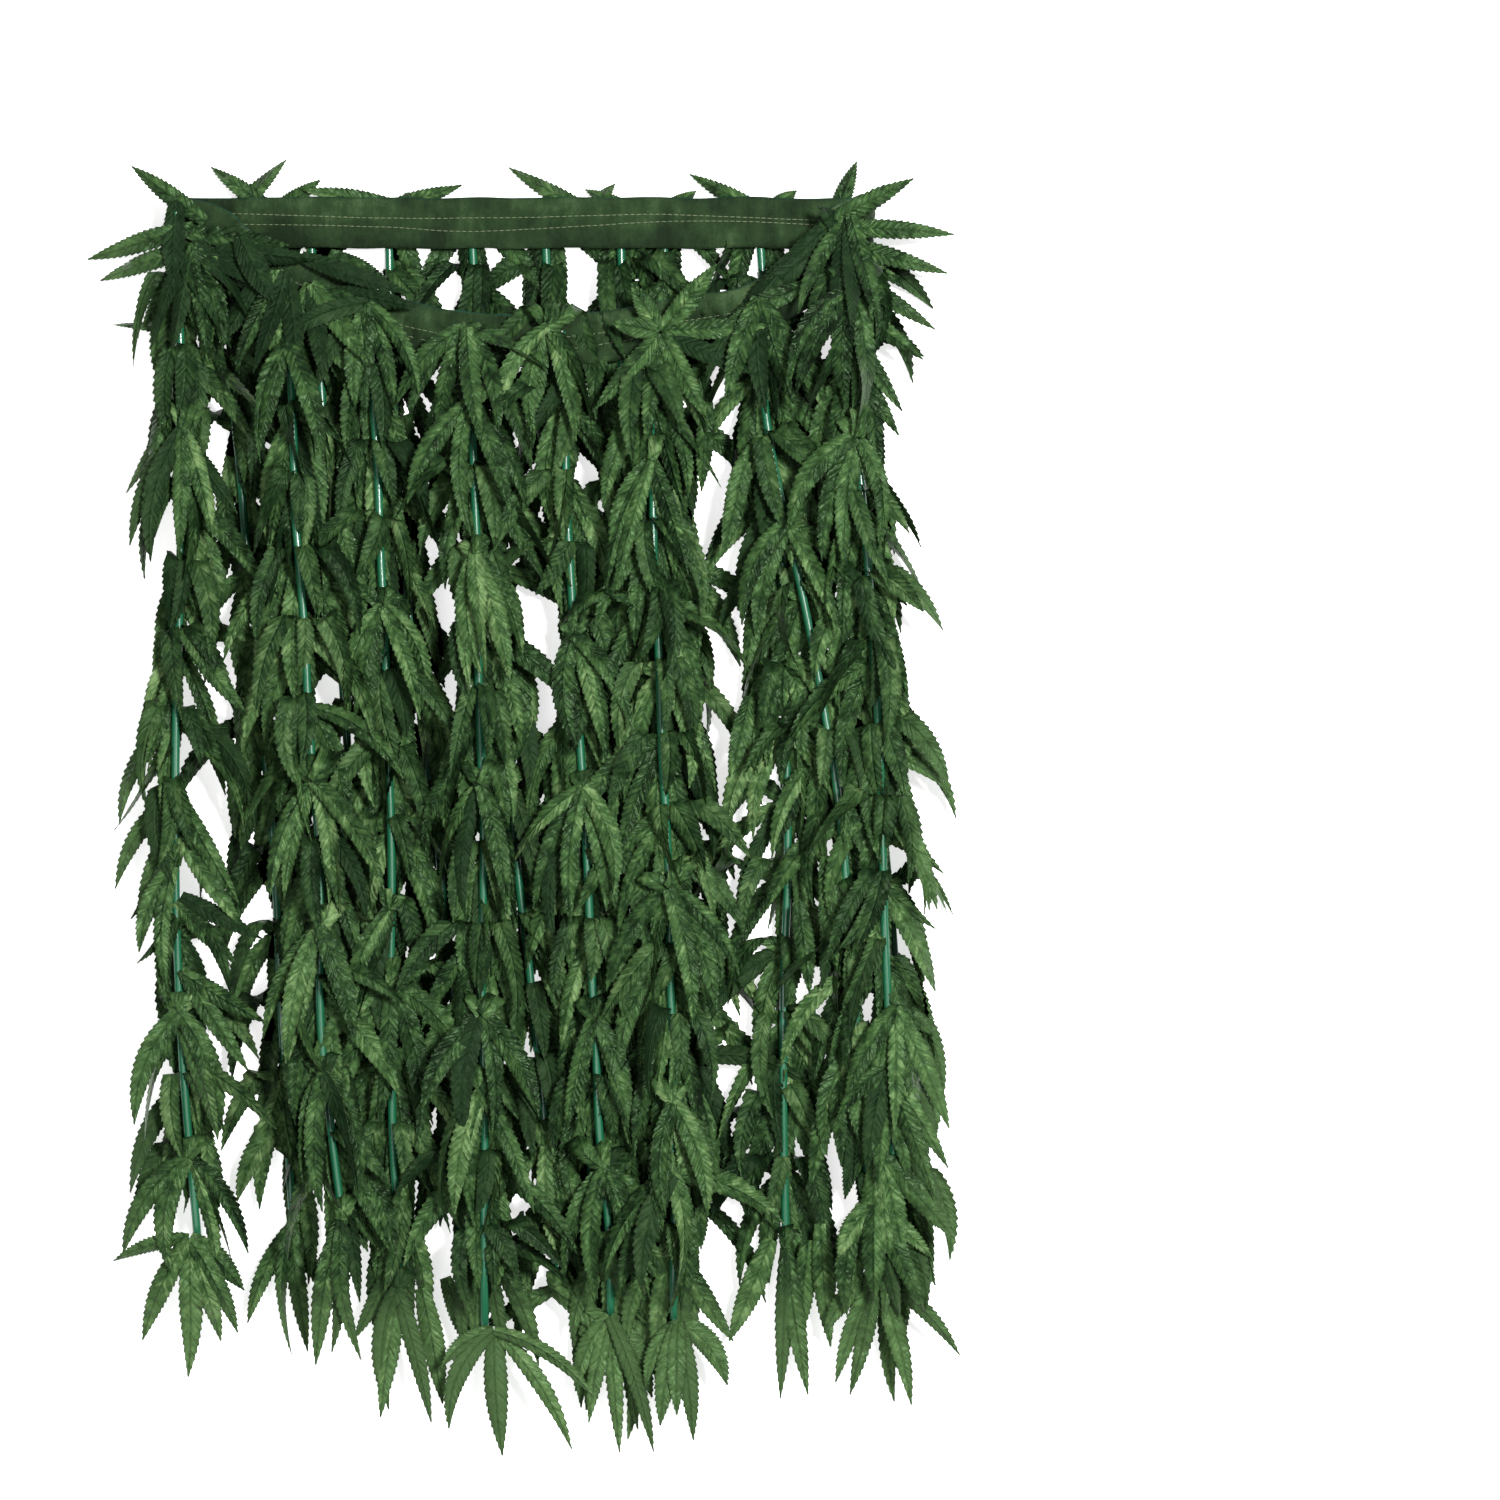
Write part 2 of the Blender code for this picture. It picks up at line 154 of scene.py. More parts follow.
# The garlands from left to right: level, last leaf below the top edge, across at each station (mm), and
# the first hand, under or on the band, unless it is folded as the rest are: angle off straight down
# (degrees) and length (mm) of each leaflet
GARLANDS = {
    "back": [
        (0, 494, (-144, -139, -130, -122, -117, -112), [(-38, 52), (-10, 48), (6, 55), (36, 54)]),
        (1, 492, (-104, -96, -89, -83, -75, -67), [(-34, 54), (10, 56), (30, 52), (46, 50)]),
        (0, 508, (-66, -63, -55, -43, -33, -31), [(-44, 52), (-8, 56), (14, 50), (30, 55)]),
        (1, 524, (-26, -19, -12, -5, 6, 14), [(-40, 54), (-12, 50), (6, 56), (40, 54)]),
        (0, 520, (10, 15, 20, 24, 29, 32), [(-30, 55), (-6, 52), (14, 54), (48, 52)]),
        (1, 526, (45, 47, 50, 52, 55, 58), [(-36, 52), (4, 50), (28, 56)]),
        (0, 516, (67, 69, 73, 77, 79, 81), [(-20, 55), (8, 50), (22, 55), (52, 50)]),
        (1, 504, (113, 119, 125, 126, 124, 125), [(-44, 50), (-30, 54), (18, 56)]),
        (0, 508, (150, 155, 163, 173, 180, 182), [(-40, 50), (6, 56), (34, 54)]),
    ],
    "front": [
        (0, 494, (-166, -162, -165, -166, -163, -156), [(-30, 54), (-8, 52), (14, 56), (34, 54), (54, 50)]),
        (1, 488, (-114, -109, -104, -97, -95, -84), [(-36, 54), (-12, 52), (12, 56)]),
        (0, 522, (-75, -71, -66, -64, -63, -60),
         [(-84, 46), (-48, 54), (-20, 50), (-4, 56), (22, 55), (52, 52)]),
        (1, 536, (-29, -24, -21, -19, -19, -18), [(-66, 50), (-30, 56), (2, 57), (36, 54), (74, 44)]),
        (0, 537, (17, 20, 24, 30, 34, 41), None),
        (1, 534, (58, 61, 64, 69, 71, 72), []),
        (0, 515, (110, 118, 138, 152, 159, 166), [(-50, 50), (-24, 54), (-6, 56), (18, 54), (37, 56)]),
        (1, 506, (156, 159, 167, 171, 174, 179), [(-44, 54), (-14, 56), (4, 54), (16, 56)]),
    ],
}

# Openings through which the floor shows: across, down, half the width and half the height (mm)
OPENINGS = [
    (92, 515, 9, 18), (-38, 512, 5, 18), (10, 206, 7, 13), (86, 152, 5, 12), (-77, 31, 10, 8),
    (-154, 283, 6, 8), (11, 247, 5, 9), (-95, 238, 4, 8), (-38, 199, 5, 8), (-162, 326, 4, 9),
    (98, 232, 7, 6), (28, 133, 4, 8), (-129, 340, 5, 6), (96, 268, 6, 6), (178, 319, 5, 6),
    (97, 421, 5, 6), (-4, 42, 4, 6), (101, 489, 3, 7), (175, 78, 7, 5), (1, 193, 4, 6),
    (-147, 114, 4, 7), (-148, 329, 5, 8), (28, 47, 5, 4), (-1, 483, 5, 4), (-85, 261, 3, 8),
    (81, 33, 5, 4), (-121, 468, 3, 7), (95, 131, 3, 8), (-148, 299, 5, 5), (24, 32, 4, 5),
    (-134, 415, 3, 6), (-162, 263, 3, 6), (-169, 161, 3, 5), (-127, 397, 3, 8), (-157, 358, 5, 3),
    (135, 378, 4, 7), (165, 386, 3, 5), (177, 354, 3, 9), (153, 482, 4, 9), (154, 444, 2, 8),
    (-180, 92, 5, 12), (-180, 211, 5, 10), (-180, 376, 5, 10), (-141, 461, 5, 10), (13, 537, 6, 13),
    (176, 121, 5, 10), (186, 146, 5, 5), (190, 230, 5, 7), (183, 215, 4, 7), (190, 284, 5, 6),
]
# How far leaflets reach to either side: below the top edge, across on the left and on the right (mm)
OUTLINE = [
    (0, -188, 204), (46, -206, 204), (92, -178, 186), (115, -184, 184), (138, -195, 188), (161, -186, 194),
    (184, -188, 198), (207, -185, 199), (230, -175, 188), (253, -183, 192), (276, -187, 205),
    (300, -193, 210), (323, -199, 204), (346, -187, 206), (392, -178, 192), (415, -180, 200),
    (461, -193, 203), (507, -194, 206), (530, -183, 194), (553, -184, 206), (576, -170, 186),
]
OUTLINE_SLACK = 3 * MM
CLEARING_LENGTHS = (1.0, 0.78)
CLEARING_TURNS = (0, 12, -12, 24, -24, 36, -36, 48, -48)
CLEARING_STEPS = (0.15, 0.3, 0.45, 0.6, 0.75, 0.9, 1.0)  # along a leaflet
CLEARING_WIDTH = 0.7

# A hand of leaflets as it hangs: angle off straight down (degrees) and share of the full length.
# Those past 90 degrees come down again over the fold.
HAND = [
    (4, 1.0), (-28, 0.98), (30, 0.98), (-60, 0.95), (60, 0.95), (-126, 0.9), (126, 0.9), (172, 0.7),
]
OPENNESS = (0.5, 1.1)
LAST_OPENNESS = 0.32  # the hands at the hem hang in bunches
LAST_MISSING = 0.4
LAST_SPREAD = 0.25
WIDE_OPEN = {"back_7": 1.3, "back_8": 1.35, "front_7": 1.15, "back_1": 1.15}
PARTING = 20  # leaflets in front of the tube part to each side of it by this much
PARTED_SHARE = 0.85
HAND_TURN = 15
ANGLE_SPREAD = 8
LENGTH_SPREAD = 0.1
WIDTH_SPREAD = 0.18
CLOSING = 66  # degrees that a leaflet at the side swings towards the hem along its length
FIRST_CLOSING = 40
BEND_SPREAD = 17
ROLL_SPREAD = 30
EDGE_ON_SHARE = 0.14
TURNED_SHARE = 0.1  # leaflets that show their dark side
TOP_SHADE = 0.35  # darker leaflets near the band
TOP_SHADE_RUN = 150 * MM
FOLDED_DARK = 0.4  # of the dark side on what is folded over
EDGE_ON_ROLL = 66
FOLD_TILT = 16
IN_FRONT_SHARE = 0.32
MISSING_SHARE = 0.04  # tucked away under the rest
NEVER_MISSING = 170  # the one that comes straight down over the fold
MOOD = (0.35, 0.65)  # tone of a whole hand
TONE_SPREAD = 0.35
SPREAD_ROLL = 0.4  # share of the roll on a hand that lies open
FIRST_SEED, GARLAND_SEED, HAND_SEED, CROWN_SEED, WANDER_SEED = 100, 31, 7.7, 41, 7.3

# First hands that mostly show their dark side
DARK_FIRST_SHARE = 0.7
DARK_FIRST = ("front_1", "front_2", "front_7")
# First hands off their tube's end: across and down
FIRST_PLACES = {"front_1": (-158 * MM, 25 * MM), "front_5": (12 * MM, 64 * MM)}
# Last hands of a garland that lie open: across, down (mm), then angle, length (mm) and bend of
# each leaflet
LAST_HANDS = {
    "front_1": [(
        -159, 498, [(-88, 38, 30), (-34, 55, 18), (4, 67, -10), (22, 52, -12), (38, 51, -24), (60, 36, -26)],
    )],
    "front_4": [(-14, 542, [(-55, 52, 62), (0, 60, 8), (48, 68, -30), (78, 59, -44), (-80, 30, 50)])],
    "front_5": [(41, 536, [(4, 66, 0), (26, 68, -16), (42, 44, -30), (-16, 52, 10), (-44, 40, 40)])],
    "front_6": [(74, 538, [(-16, 50, 12), (-4, 44, 6), (12, 57, -10), (66, 38, -58), (-52, 34, 50)])],
    "front_7": [(168, 515, [(60, 57, -30), (22, 66, -14), (-8, 60, -8), (-26, 56, 12), (-60, 38, 40)])],
    "front_8": [
        (177, 388, [(30, 63, -12), (16, 60, -10), (2, 58, -6), (-18, 54, 6), (-40, 48, 20), (70, 22, -30)]),
        (172, 416, [(36, 57, -8), (24, 67, -6), (10, 59, 6), (-2, 55, -4), (-14, 50, 8), (-62, 34, 40)]),
        (170, 457, [(44, 54, -6), (16, 52, -8), (2, 50, 6), (-12, 44, 8)]),
        (167, 481, [(54, 38, -14), (28, 56, -6), (12, 56, 2), (-2, 46, 4), (-50, 30, 30)]),
    ],
}
# Leaflets of the back garlands whose tips stand out above the band
CROWN_HEIGHT = 2 * MM
CROWN_WIDTH = 0.88
CROWN_TONE = (0.4, 0.7)
CROWN_BEND = 8
CROWN_LEAFLETS = {
    # across, down (mm), angle (degrees), length (mm), roll (degrees)
    "back_1": [(-122, 5, -121, 36, 14), (-144, 9, 134, 40, -20), (-124, 8, 121, 30, 25)],
    "back_3": [(-62, 3, -98, 46, -12), (-70, 5, 106, 41, 24), (-50, 6, -141, 12, 10)],
    "back_5": [(33, 7, -115, 47, 12), (28, 9, 137, 22, -18)],
    "back_6": [(52, 7, -117, 26, 20)],
    "back_7": [(65, 7, 119, 20, 30)],
    "back_8": [(118, 8, -115, 44, -12), (116, 7, 128, 18, 15)],
}
LOOSE_BEND = 6
LOOSE_KEEL = (0, 0.35)
# Leaflets with a root of their own: those that fan out past the folded ends of the band, the dark
# ones that lie on its slack half and the open hand in the middle
LOOSE_LEAFLETS = {
    # across, down (mm), angle (degrees), length, height above the ground (mm), roll (degrees),
    # share of the full width, tone, and 1 where the dark side is up
    "back_8": [(118, 500, -21, 53, 15, -6, 1.2, 0.75)],
    "front_3": [(-49, 523, 12, 57, 18, 8, 1.15, 0.6), (-38, 518, 20, 42, 16, -8, 1, 0.5)],
    "front_1": [
        (-152, 13, -126, 44, 21.5, 10, 0.95, 0.6), (-157, 16, -72, 54, 24, -14, 1, 0.6),
        (-157, 26, -74, 48, 24, 8, 1, 0.7), (-160, 25, -29, 46, 17, -10, 1, 0.4),
        (-163, 64, -95, 34, 18, 62, 1, 0.5), (-160, 98, -26, 57, 18, 10, 1, 0.6),
        (-163, 18, 84, 52, 21, 12, 1, 0.6), (-158, 25, 62, 46, 22, -24, 1, 0.5, 1),
        (-149, 30, -4, 53, 24.5, 6, 1.15, 0.95), (-135, 21, 25, 36, 25.5, -10, 1.3, 0.5, 1),
        (-128, 44, -27, 30, 24.5, 14, 1.1, 0.5, 1), (-118, 37, 3, 46, 26, -6, 1.35, 0.95),
        (-155, 22, 10, 50, 23.5, 20, 1.1, 0.3, 1), (-164, 288, 29, 59, 25, 8, 0.95, 0.5),
        (-164, 307, 35, 54, 25, -12, 0.95, 0.55), (-166, 338, 46, 42, 24.5, 10, 1, 0.4),
        (-163, 335, 62, 44, 25.5, -14, 0.9, 0.3, 1), (-163, 370, 34, 58, 25, -10, 1, 0.5),
        (-162, 372, 58, 46, 25.5, 12, 1, 0.35), (-163, 208, 36, 52, 25, -8, 1, 0.45),
        (-162, 118, 38, 44, 25, 10, 1, 0.5, 1), (-166, 4, -2, 42, 23.5, -6, 1.1, 0.3, 1),
    ],
    "front_2": [
        (-147, 27, 84, 49, 22.5, 10, 1, 0.5, 1), (-106, 30, 70, 55, 22.5, -14, 0.95, 0.5, 1),
        (-90, 47, 81, 40, 23, 12, 1, 0.4, 1), (-94, 28, 62, 33, 13, 6, 1.1, 0.85),
        (-101, 43, 35, 48, 24, 8, 1.1, 0.95), (-101, 43, 9, 46, 23.5, -8, 1, 0.4, 1),
        (-101, 43, 60, 42, 23, 14, 1, 0.5), (-102, 43, -18, 46, 23, -14, 1, 0.7),
    ],
    "front_6": [
        (66, 66, 139, 41, 26, 0, 1.1, 0.85), (66, 66, 92, 52, 26, 4, 1, 0.75),
        (66, 67, 66, 50, 25.5, -8, 1, 0.5, 1), (66, 67, 26, 47, 26.5, 6, 1.05, 0.8),
        (65, 67, -8, 52, 25, -6, 1, 0.6), (65, 67, -38, 48, 25.5, 5, 1, 0.7),
        (64, 66, -100, 22, 25.5, 8, 1, 0.7), (65, 66, -150, 26, 25.5, 0, 1, 0.7),
        (88, 100, -4, 43, 29, 10, 0.9, 0.5), (70, 500, 30, 57, 26, 8, 1.1, 0.55),
    ],
    "front_7": [
        (149, 12, -46, 48, 21.5, 8, 1.1, 0.5, 1), (141, 25, -51, 54, 22, -12, 1.1, 0.4, 1),
        (128, 30, -38, 50, 23, 16, 1.1, 0.5, 1), (134, 44, -66, 44, 23.5, -10, 1, 0.6),
        (144, 316, 4, 55, 25, 8, 1, 0.5), (150, 330, -8, 50, 23, -10, 1, 0.4, 1),
        (131, 338, 10, 44, 24, 12, 1, 0.3), (149, 404, 2, 60, 25, -12, 1, 0.3),
        (156, 410, -3, 58, 23, 14, 1, 0.45, 1), (146, 426, -10, 48, 24, 8, 1, 0.5),
        (161, 446, -16, 34, 26, 10, 0.9, 0.4, 1), (106, 128, -15, 46, 25, -8, 1, 0.55),
        (142, 492, 2, 60, 18, 8, 1.1, 0.6), (136, 500, -6, 50, 16, -8, 1.1, 0.6),
        (114, 178, -8, 52, 24, 8, 1, 0.5), (108, 240, -12, 40, 24, -8, 1, 0.5),
    ],
    "front_8": [
        (148, 11, 159, 31, 3, -8, 0.9, 0.6), (142, 16, 118, 50, 22, 12, 1, 0.7),
        (150, 16, 88, 56, 21.5, -6, 0.95, 0.7), (158, 22, -132, 24, 22, 10, 1, 0.5, 1),
        (150, 22, 73, 55, 15, 10, 0.95, 0.7), (150, 34, 55, 56, 17, -8, 0.95, 0.6),
        (150, 30, 72, 30, 18, 20, 0.9, 0.5), (150, 47, 50, 52, 18, 8, 0.95, 0.6),
        (149, 58, 36, 56, 20, -12, 1, 0.5), (150, 70, 34, 54, 19, 10, 1, 0.6),
    ],
}


def columns(rows):
    """The columns of a table in millimetres, in metres."""
    return [[value * MM for value in column] for column in zip(*rows)]


def through(places, values, place):
    """The smooth curve through values at rising places, level past its two ends."""
    if place <= places[0]:
        return values[0]
    if place >= places[-1]:
        return values[-1]
    i = max(k for k in range(len(places) - 1) if places[k] <= place)
    span = places[i + 1] - places[i]
    t = (place - places[i]) / span

    def slope(k):
        low, high = max(k - 1, 0), min(k + 1, len(places) - 1)
        return (values[high] - values[low]) / (places[high] - places[low])

    start = values[i] * (2 * t**3 - 3 * t**2 + 1) + slope(i) * span * (t**3 - 2 * t**2 + t)
    end = values[i + 1] * (3 * t**2 - 2 * t**3) + slope(i + 1) * span * (t**3 - t**2)
    return start + end


def ease(t):
    t = min(max(t, 0.0), 1.0)
    return t * t * (3 - 2 * t)


def rotated(x, y, angle):
    sine, cosine = math.sin(angle), math.cos(angle)
    return x * cosine + y * sine, y * cosine - x * sine


def front_band_down(across):
    """How far below the top edge the middle of the front band lies."""
    return through(*columns(FRONT_BAND_LINE), across)


BACK_LOW, BACK_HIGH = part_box("waistband_back")
MIDDLE = BACK_LOW[0] - BAND_LEFT
TOP_EDGE = BACK_HIGH[1]
TO_WAIST, UP = Vector((0, 1, 0)), Vector((0, 0, 1))


def on_skirt(across, down, height):
    """A place on the skirt, in the frame's own coordinates."""
    return Vector((MIDDLE + across, TOP_EDGE - down, height))


# Shader maths


def arithmetic(operation):
    """A sign of Signal and its reflected form, which add one Math node."""

    def worked(first, second=0.0):
        signal = first if isinstance(first, Signal) else second
        return signal.finish.add("ShaderNodeMath", {"operation": operation}, {0: first, 1: second})

    return worked, lambda signal, other: worked(other, signal)


class Signal:
    """A socket of a finish, with arithmetic that adds Math nodes."""

    __add__, __radd__ = arithmetic("ADD")
    __sub__, __rsub__ = arithmetic("SUBTRACT")
    __mul__, __rmul__ = arithmetic("MULTIPLY")
    __truediv__, __rtruediv__ = arithmetic("DIVIDE")
    __pow__, __rpow__ = arithmetic("POWER")
    __abs__, sine = arithmetic("ABSOLUTE")[0], arithmetic("SINE")[0]

    def __init__(self, finish, socket):
        self.finish = finish
        self.socket = socket

    def held(self):
        """The same between 0 and 1."""
        return self.finish.add("ShaderNodeClamp", {}, {0: self})


class Finish:
    """One material: a Principled shader and the nodes that feed it."""

    def __init__(self, name):
        self.material = bpy.data.materials.new(name)
        self.material.use_nodes = True
        self.tree = self.material.node_tree
        self.shader = self.tree.nodes["Principled BSDF"]
        self.place = self.add("ShaderNodeTexCoord", output=3)  # in the object's own metres

    def add(self, kind, settings=None, sockets=None, output=0):
        """Adds one node, sets it, feeds its sockets and hands back one of its outputs."""
        node = self.tree.nodes.new(kind)
        for setting, value in (settings or {}).items():
            if setting == "stops":
                self.set_stops(node.color_ramp, value)
            else:
                setattr(node, setting, value)
        for key, value in (sockets or {}).items():
            self.feed(node.inputs[key], value)
        return Signal(self, node.outputs[output])

    def set_stops(self, ramp, stops):
        while len(ramp.elements) < len(stops):
            ramp.elements.new(0.5)
        for element, (position, colour) in zip(ramp.elements, stops):
            element.position = position
            element.color = colour

    def feed(self, socket, value):
        if isinstance(value, Signal):
            self.tree.links.new(value.socket, socket)
        else:
            socket.default_value = value

    def mixed(self, share, first, second):
        """Two colours mixed by a share."""
        sockets = {0: share, 6: first, 7: second}
        return self.add("ShaderNodeMix", {"data_type": "RGBA"}, sockets, output=2)

    def stretched(self, where, *scale):
        return self.add("ShaderNodeMapping", {}, {"Vector": where, "Scale": scale})

    def ramp(self, share, *stops):
        """A colour from a share of 0 to 1, by positions and their colours."""
        return self.add("ShaderNodeValToRGB", {"stops": stops}, {0: share})

    def part(self, vector, axis):
        return self.add("ShaderNodeSeparateXYZ", {}, {0: vector}, output="XYZ".index(axis))

    def noise(self, scale, detail, roughness=0.5, where=None):
        where = self.place if where is None else where
        sockets = {"Vector": where, "Scale": scale, "Detail": detail, "Roughness": roughness}
        return self.add("ShaderNodeTexNoise", {}, sockets)

    def bumped(self, height, distance, strength):
        return self.add("ShaderNodeBump", {}, {"Strength": strength, "Distance": distance, "Height": height})

    def done(self, **inputs):
        """The material, once its shader's inputs are fed: base_color stands for Base Color."""
        for word, value in inputs.items():
            socket = word.replace("_", " ").title().replace("Ior", "IOR")
            self.feed(self.shader.inputs[socket], value)
        return self.material


def rgb(red, green, blue):
    """A colour from screen values of 0 to 255, as Blender's linear light."""

    def linear(value):
        value /= 255
        return value / 12.92 if value <= 0.04045 else ((value + 0.055) / 1.055) ** 2.4

    return (linear(red), linear(green), linear(blue), 1.0)


# Finishes

VEIN_PITCH = 3.6 * MM
VEIN_SLANT = 1.25
RIB_HALF_WIDTH = 0.8 * MM
YARN_PITCH = 0.62 * MM
UV_SCALE = 20.0  # the UV maps are metres times this
# Sizes of the satin's patterns, as noise scales
SWAYS, FACETS, CRINKLES, GRAINS, WEAR = 240.0, 110.0, 230.0, 1300.0, 55.0


def make_leaf_satin():
    """Crushed satin: veins pressed in as a herringbone, a fine crinkle and a soft sheen, with painted
    shading of its facets, veins, crinkle and creases, a painted half sheen, painted shade at rib and rim,
    and painted edge light.
    """
    finish = Finish("leaf_satin")
    blade = finish.add("ShaderNodeUVMap", {"uv_map": "blade"})
    tone, margin = (
        finish.add("ShaderNodeAttribute", {"attribute_name": "leaf_tone"}, output=part) for part in (0, 3)
    )
    # The tone attribute's channels: tone, dark side and the share of painted edge light
    shade, underside, painted_edge_light = (
        finish.add("ShaderNodeSeparateColor", {}, {0: tone}, output=part) for part in range(3)
    )
    across = abs(finish.part(blade, "X"))
    along = finish.part(blade, "Y")
    sway = finish.noise(SWAYS, 2.0) - 0.5
    facets = (finish.noise(FACETS, 2.0, 0.6) - 0.5) * 2.4 + 0.5
    crinkle = (finish.noise(CRINKLES, 1.0) - 0.5) * 2.6 + 0.5
    grain = (finish.noise(GRAINS, 2.0) - 0.5) * 2.0 + 0.5
    up_the_veins = along - across * VEIN_SLANT + sway * 0.05
    vein_axes = {0: up_the_veins * 12.0, 1: across * 2.0, 2: shade * 60.0 + facets * 0.3}
    streaks = finish.noise(1.0, 1.0, where=finish.add("ShaderNodeCombineXYZ", {}, vein_axes))
    # Thin dark lines along some veins: sunk creases in the relief, painted shade in the colour
    crease = (abs(streaks - 0.5) * 9.0).held()
    turns = 2 * math.pi / (VEIN_PITCH * UV_SCALE)
    veins = (up_the_veins * turns).sine() * 0.2 + (streaks - 0.5) * 1.8 + 0.5
    near_rib = (1 - across / (RIB_HALF_WIDTH * UV_SCALE)).held()
    worn = ((finish.noise(WEAR, 1.0) - 0.42) * 5.0).held() * 0.75 + 0.25
    veins = (veins - 0.5) * worn + 0.5
    # Painted sheen: one half of each leaflet lighter and the other darker, by a share that differs from
    # leaflet to leaflet
    half = (finish.part(blade, "X") * 400.0).held() - 0.5
    painted_half_sheen = half * (shade * 43.0).sine()
    cloth_side = 1 - underside * 0.2
    relief = (veins * 0.22 + crinkle * 0.07 + crease * 0.11 + grain * 0.016 - near_rib * 0.15) * cloth_side
    # Share from dark to light green: the leaflet's tone and grain, with painted shading of its facets,
    # veins, crinkle and creases, and the painted half sheen
    light = (
        shade * 0.57 + facets * 0.4 + veins * 0.22 + crinkle * 0.2 + crease * 0.18 + grain * 0.12
        + painted_half_sheen * 0.24 - 0.39
    ).held()
    green = finish.ramp(
        light,
        (0.0, rgb(11, 22, 11)), (0.3, rgb(31, 52, 27)), (0.65, rgb(60, 88, 48)), (1.0, rgb(108, 134, 86)),
    )
    dark = finish.mixed(underside * 0.8, green, rgb(13, 30, 15))
    # Painted light: a paler green on leaflets out past the skirt's edges
    painted_edge_lit = finish.mixed(painted_edge_light * 0.45, dark, rgb(86, 115, 70))
    # Painted shade along the sunk rib
    rib_shaded = finish.mixed(near_rib * 0.35, painted_edge_lit, rgb(20, 38, 18))
    # Painted shadow: a dark rim along each leaflet's edge
    rim_shadowed = finish.mixed(margin**5 * 0.6, rib_shaded, rgb(18, 30, 15))
    rough = 0.34 + crinkle * 0.08 + underside * 0.2
    normal = finish.bumped(relief + facets * (0.6 - underside * 0.3), 2.4 * MM, 1.0)
    return finish.done(
        base_color=rim_shadowed, roughness=rough, normal=normal, specular_ior_level=0.2,
        specular_tint=(0.5, 0.78, 0.42, 1.0),
    )


def make_stem_plastic():
    """Glossy green tube with faint draw marks along it."""
    finish = Finish("stem_plastic")
    cloud = finish.noise(22.0, 1.0)
    streak = finish.noise(1.0, 1.0, where=finish.stretched(finish.place, 1800.0, 40.0, 1800.0))
    colour = finish.mixed(cloud, rgb(14, 82, 52), rgb(26, 100, 68))
    return finish.done(
        base_color=colour, roughness=0.3 + streak * 0.12, coat_weight=((cloud - 0.5) * 5.0).held(),
        coat_roughness=0.1, specular_ior_level=0.5, normal=finish.bumped(streak, 0.05 * MM, 0.4),
    )


def make_band_cloth():
    """Plain-weave casing cloth with gathers, a dull sheen and paler patches, with painted shading in its
    gathers and painted shade on the half away from the waist.
    """
    finish = Finish("band_cloth")
    casing = finish.add("ShaderNodeUVMap", {"uv_map": "casing"})
    lengthways = finish.part(casing, "X")
    widthways = finish.part(casing, "Y")
    turns = 2 * math.pi / (YARN_PITCH * UV_SCALE)
    weave = (lengthways * turns).sine() * (widthways * turns).sine()
    slub = finish.noise(3.0, 3.0, 0.6, finish.stretched(casing, 9.0, 90.0, 1.0))
    patch = (finish.noise(40.0, 3.0, 0.6) - 0.5) * 2.4
    # The gathers: relief, and painted shading in the colour
    gather = (finish.noise(1.0, 4.0, 0.65, finish.stretched(casing, 5.0, 1.3, 1.0)) - 0.5) * 2.2
    # Painted light: the half towards the waist lighter, the other half in painted shade
    painted_upper_light = (widthways * 3.0 + 0.5).held()
    speckle = (finish.noise(900.0, 2.0) - 0.5) * 2.0
    light = (patch * 0.8 + gather * 0.5 + slub * 0.4 + painted_upper_light * 0.25 + speckle * 0.2 - 0.05).held()
    green = finish.ramp(light, (0.0, rgb(18, 32, 16)), (0.45, rgb(38, 58, 32)), (1.0, rgb(74, 96, 62)))
    edge_line = ((widthways / (BAND_WIDTH / 2 * UV_SCALE) - 0.95) * 30.0).held()
    relief = weave * 0.12 + slub * 0.35 + gather * 1.5 + patch * 2.2
    return finish.done(
        base_color=finish.mixed(edge_line * 0.7, green, rgb(14, 62, 52)), roughness=0.62 + slub * 0.15,
        normal=finish.bumped(relief, 0.7 * MM, 0.9), specular_ior_level=0.3,
        specular_tint=(0.6, 0.8, 0.55, 1.0),
    )


def make_band_thread():
    """Pale polyester thread, twisted and a little fuzzy."""
    finish = Finish("band_thread")
    twist = finish.noise(2200.0, 2.0)
    colour = finish.mixed(twist, rgb(80, 98, 62), rgb(146, 154, 118))
    return finish.done(
        base_color=colour, roughness=0.55 + twist * 0.2, normal=finish.bumped(twist, 0.1 * MM, 0.6),
        specular_ior_level=0.35, sheen_weight=0.3,
    )


def make_floor_paper():
    finish = Finish("floor_paper")
    cloud = finish.noise(3.0, 2.0)
    colour = finish.mixed(cloud, rgb(246, 246, 245), rgb(250, 250, 249))
    return finish.done(
        base_color=colour, roughness=0.8 + cloud * 0.1, specular_ior_level=0.2,
        emission_color=(1.0, 1.0, 1.0, 1.0), emission_strength=0.68,
    )


# Garlands


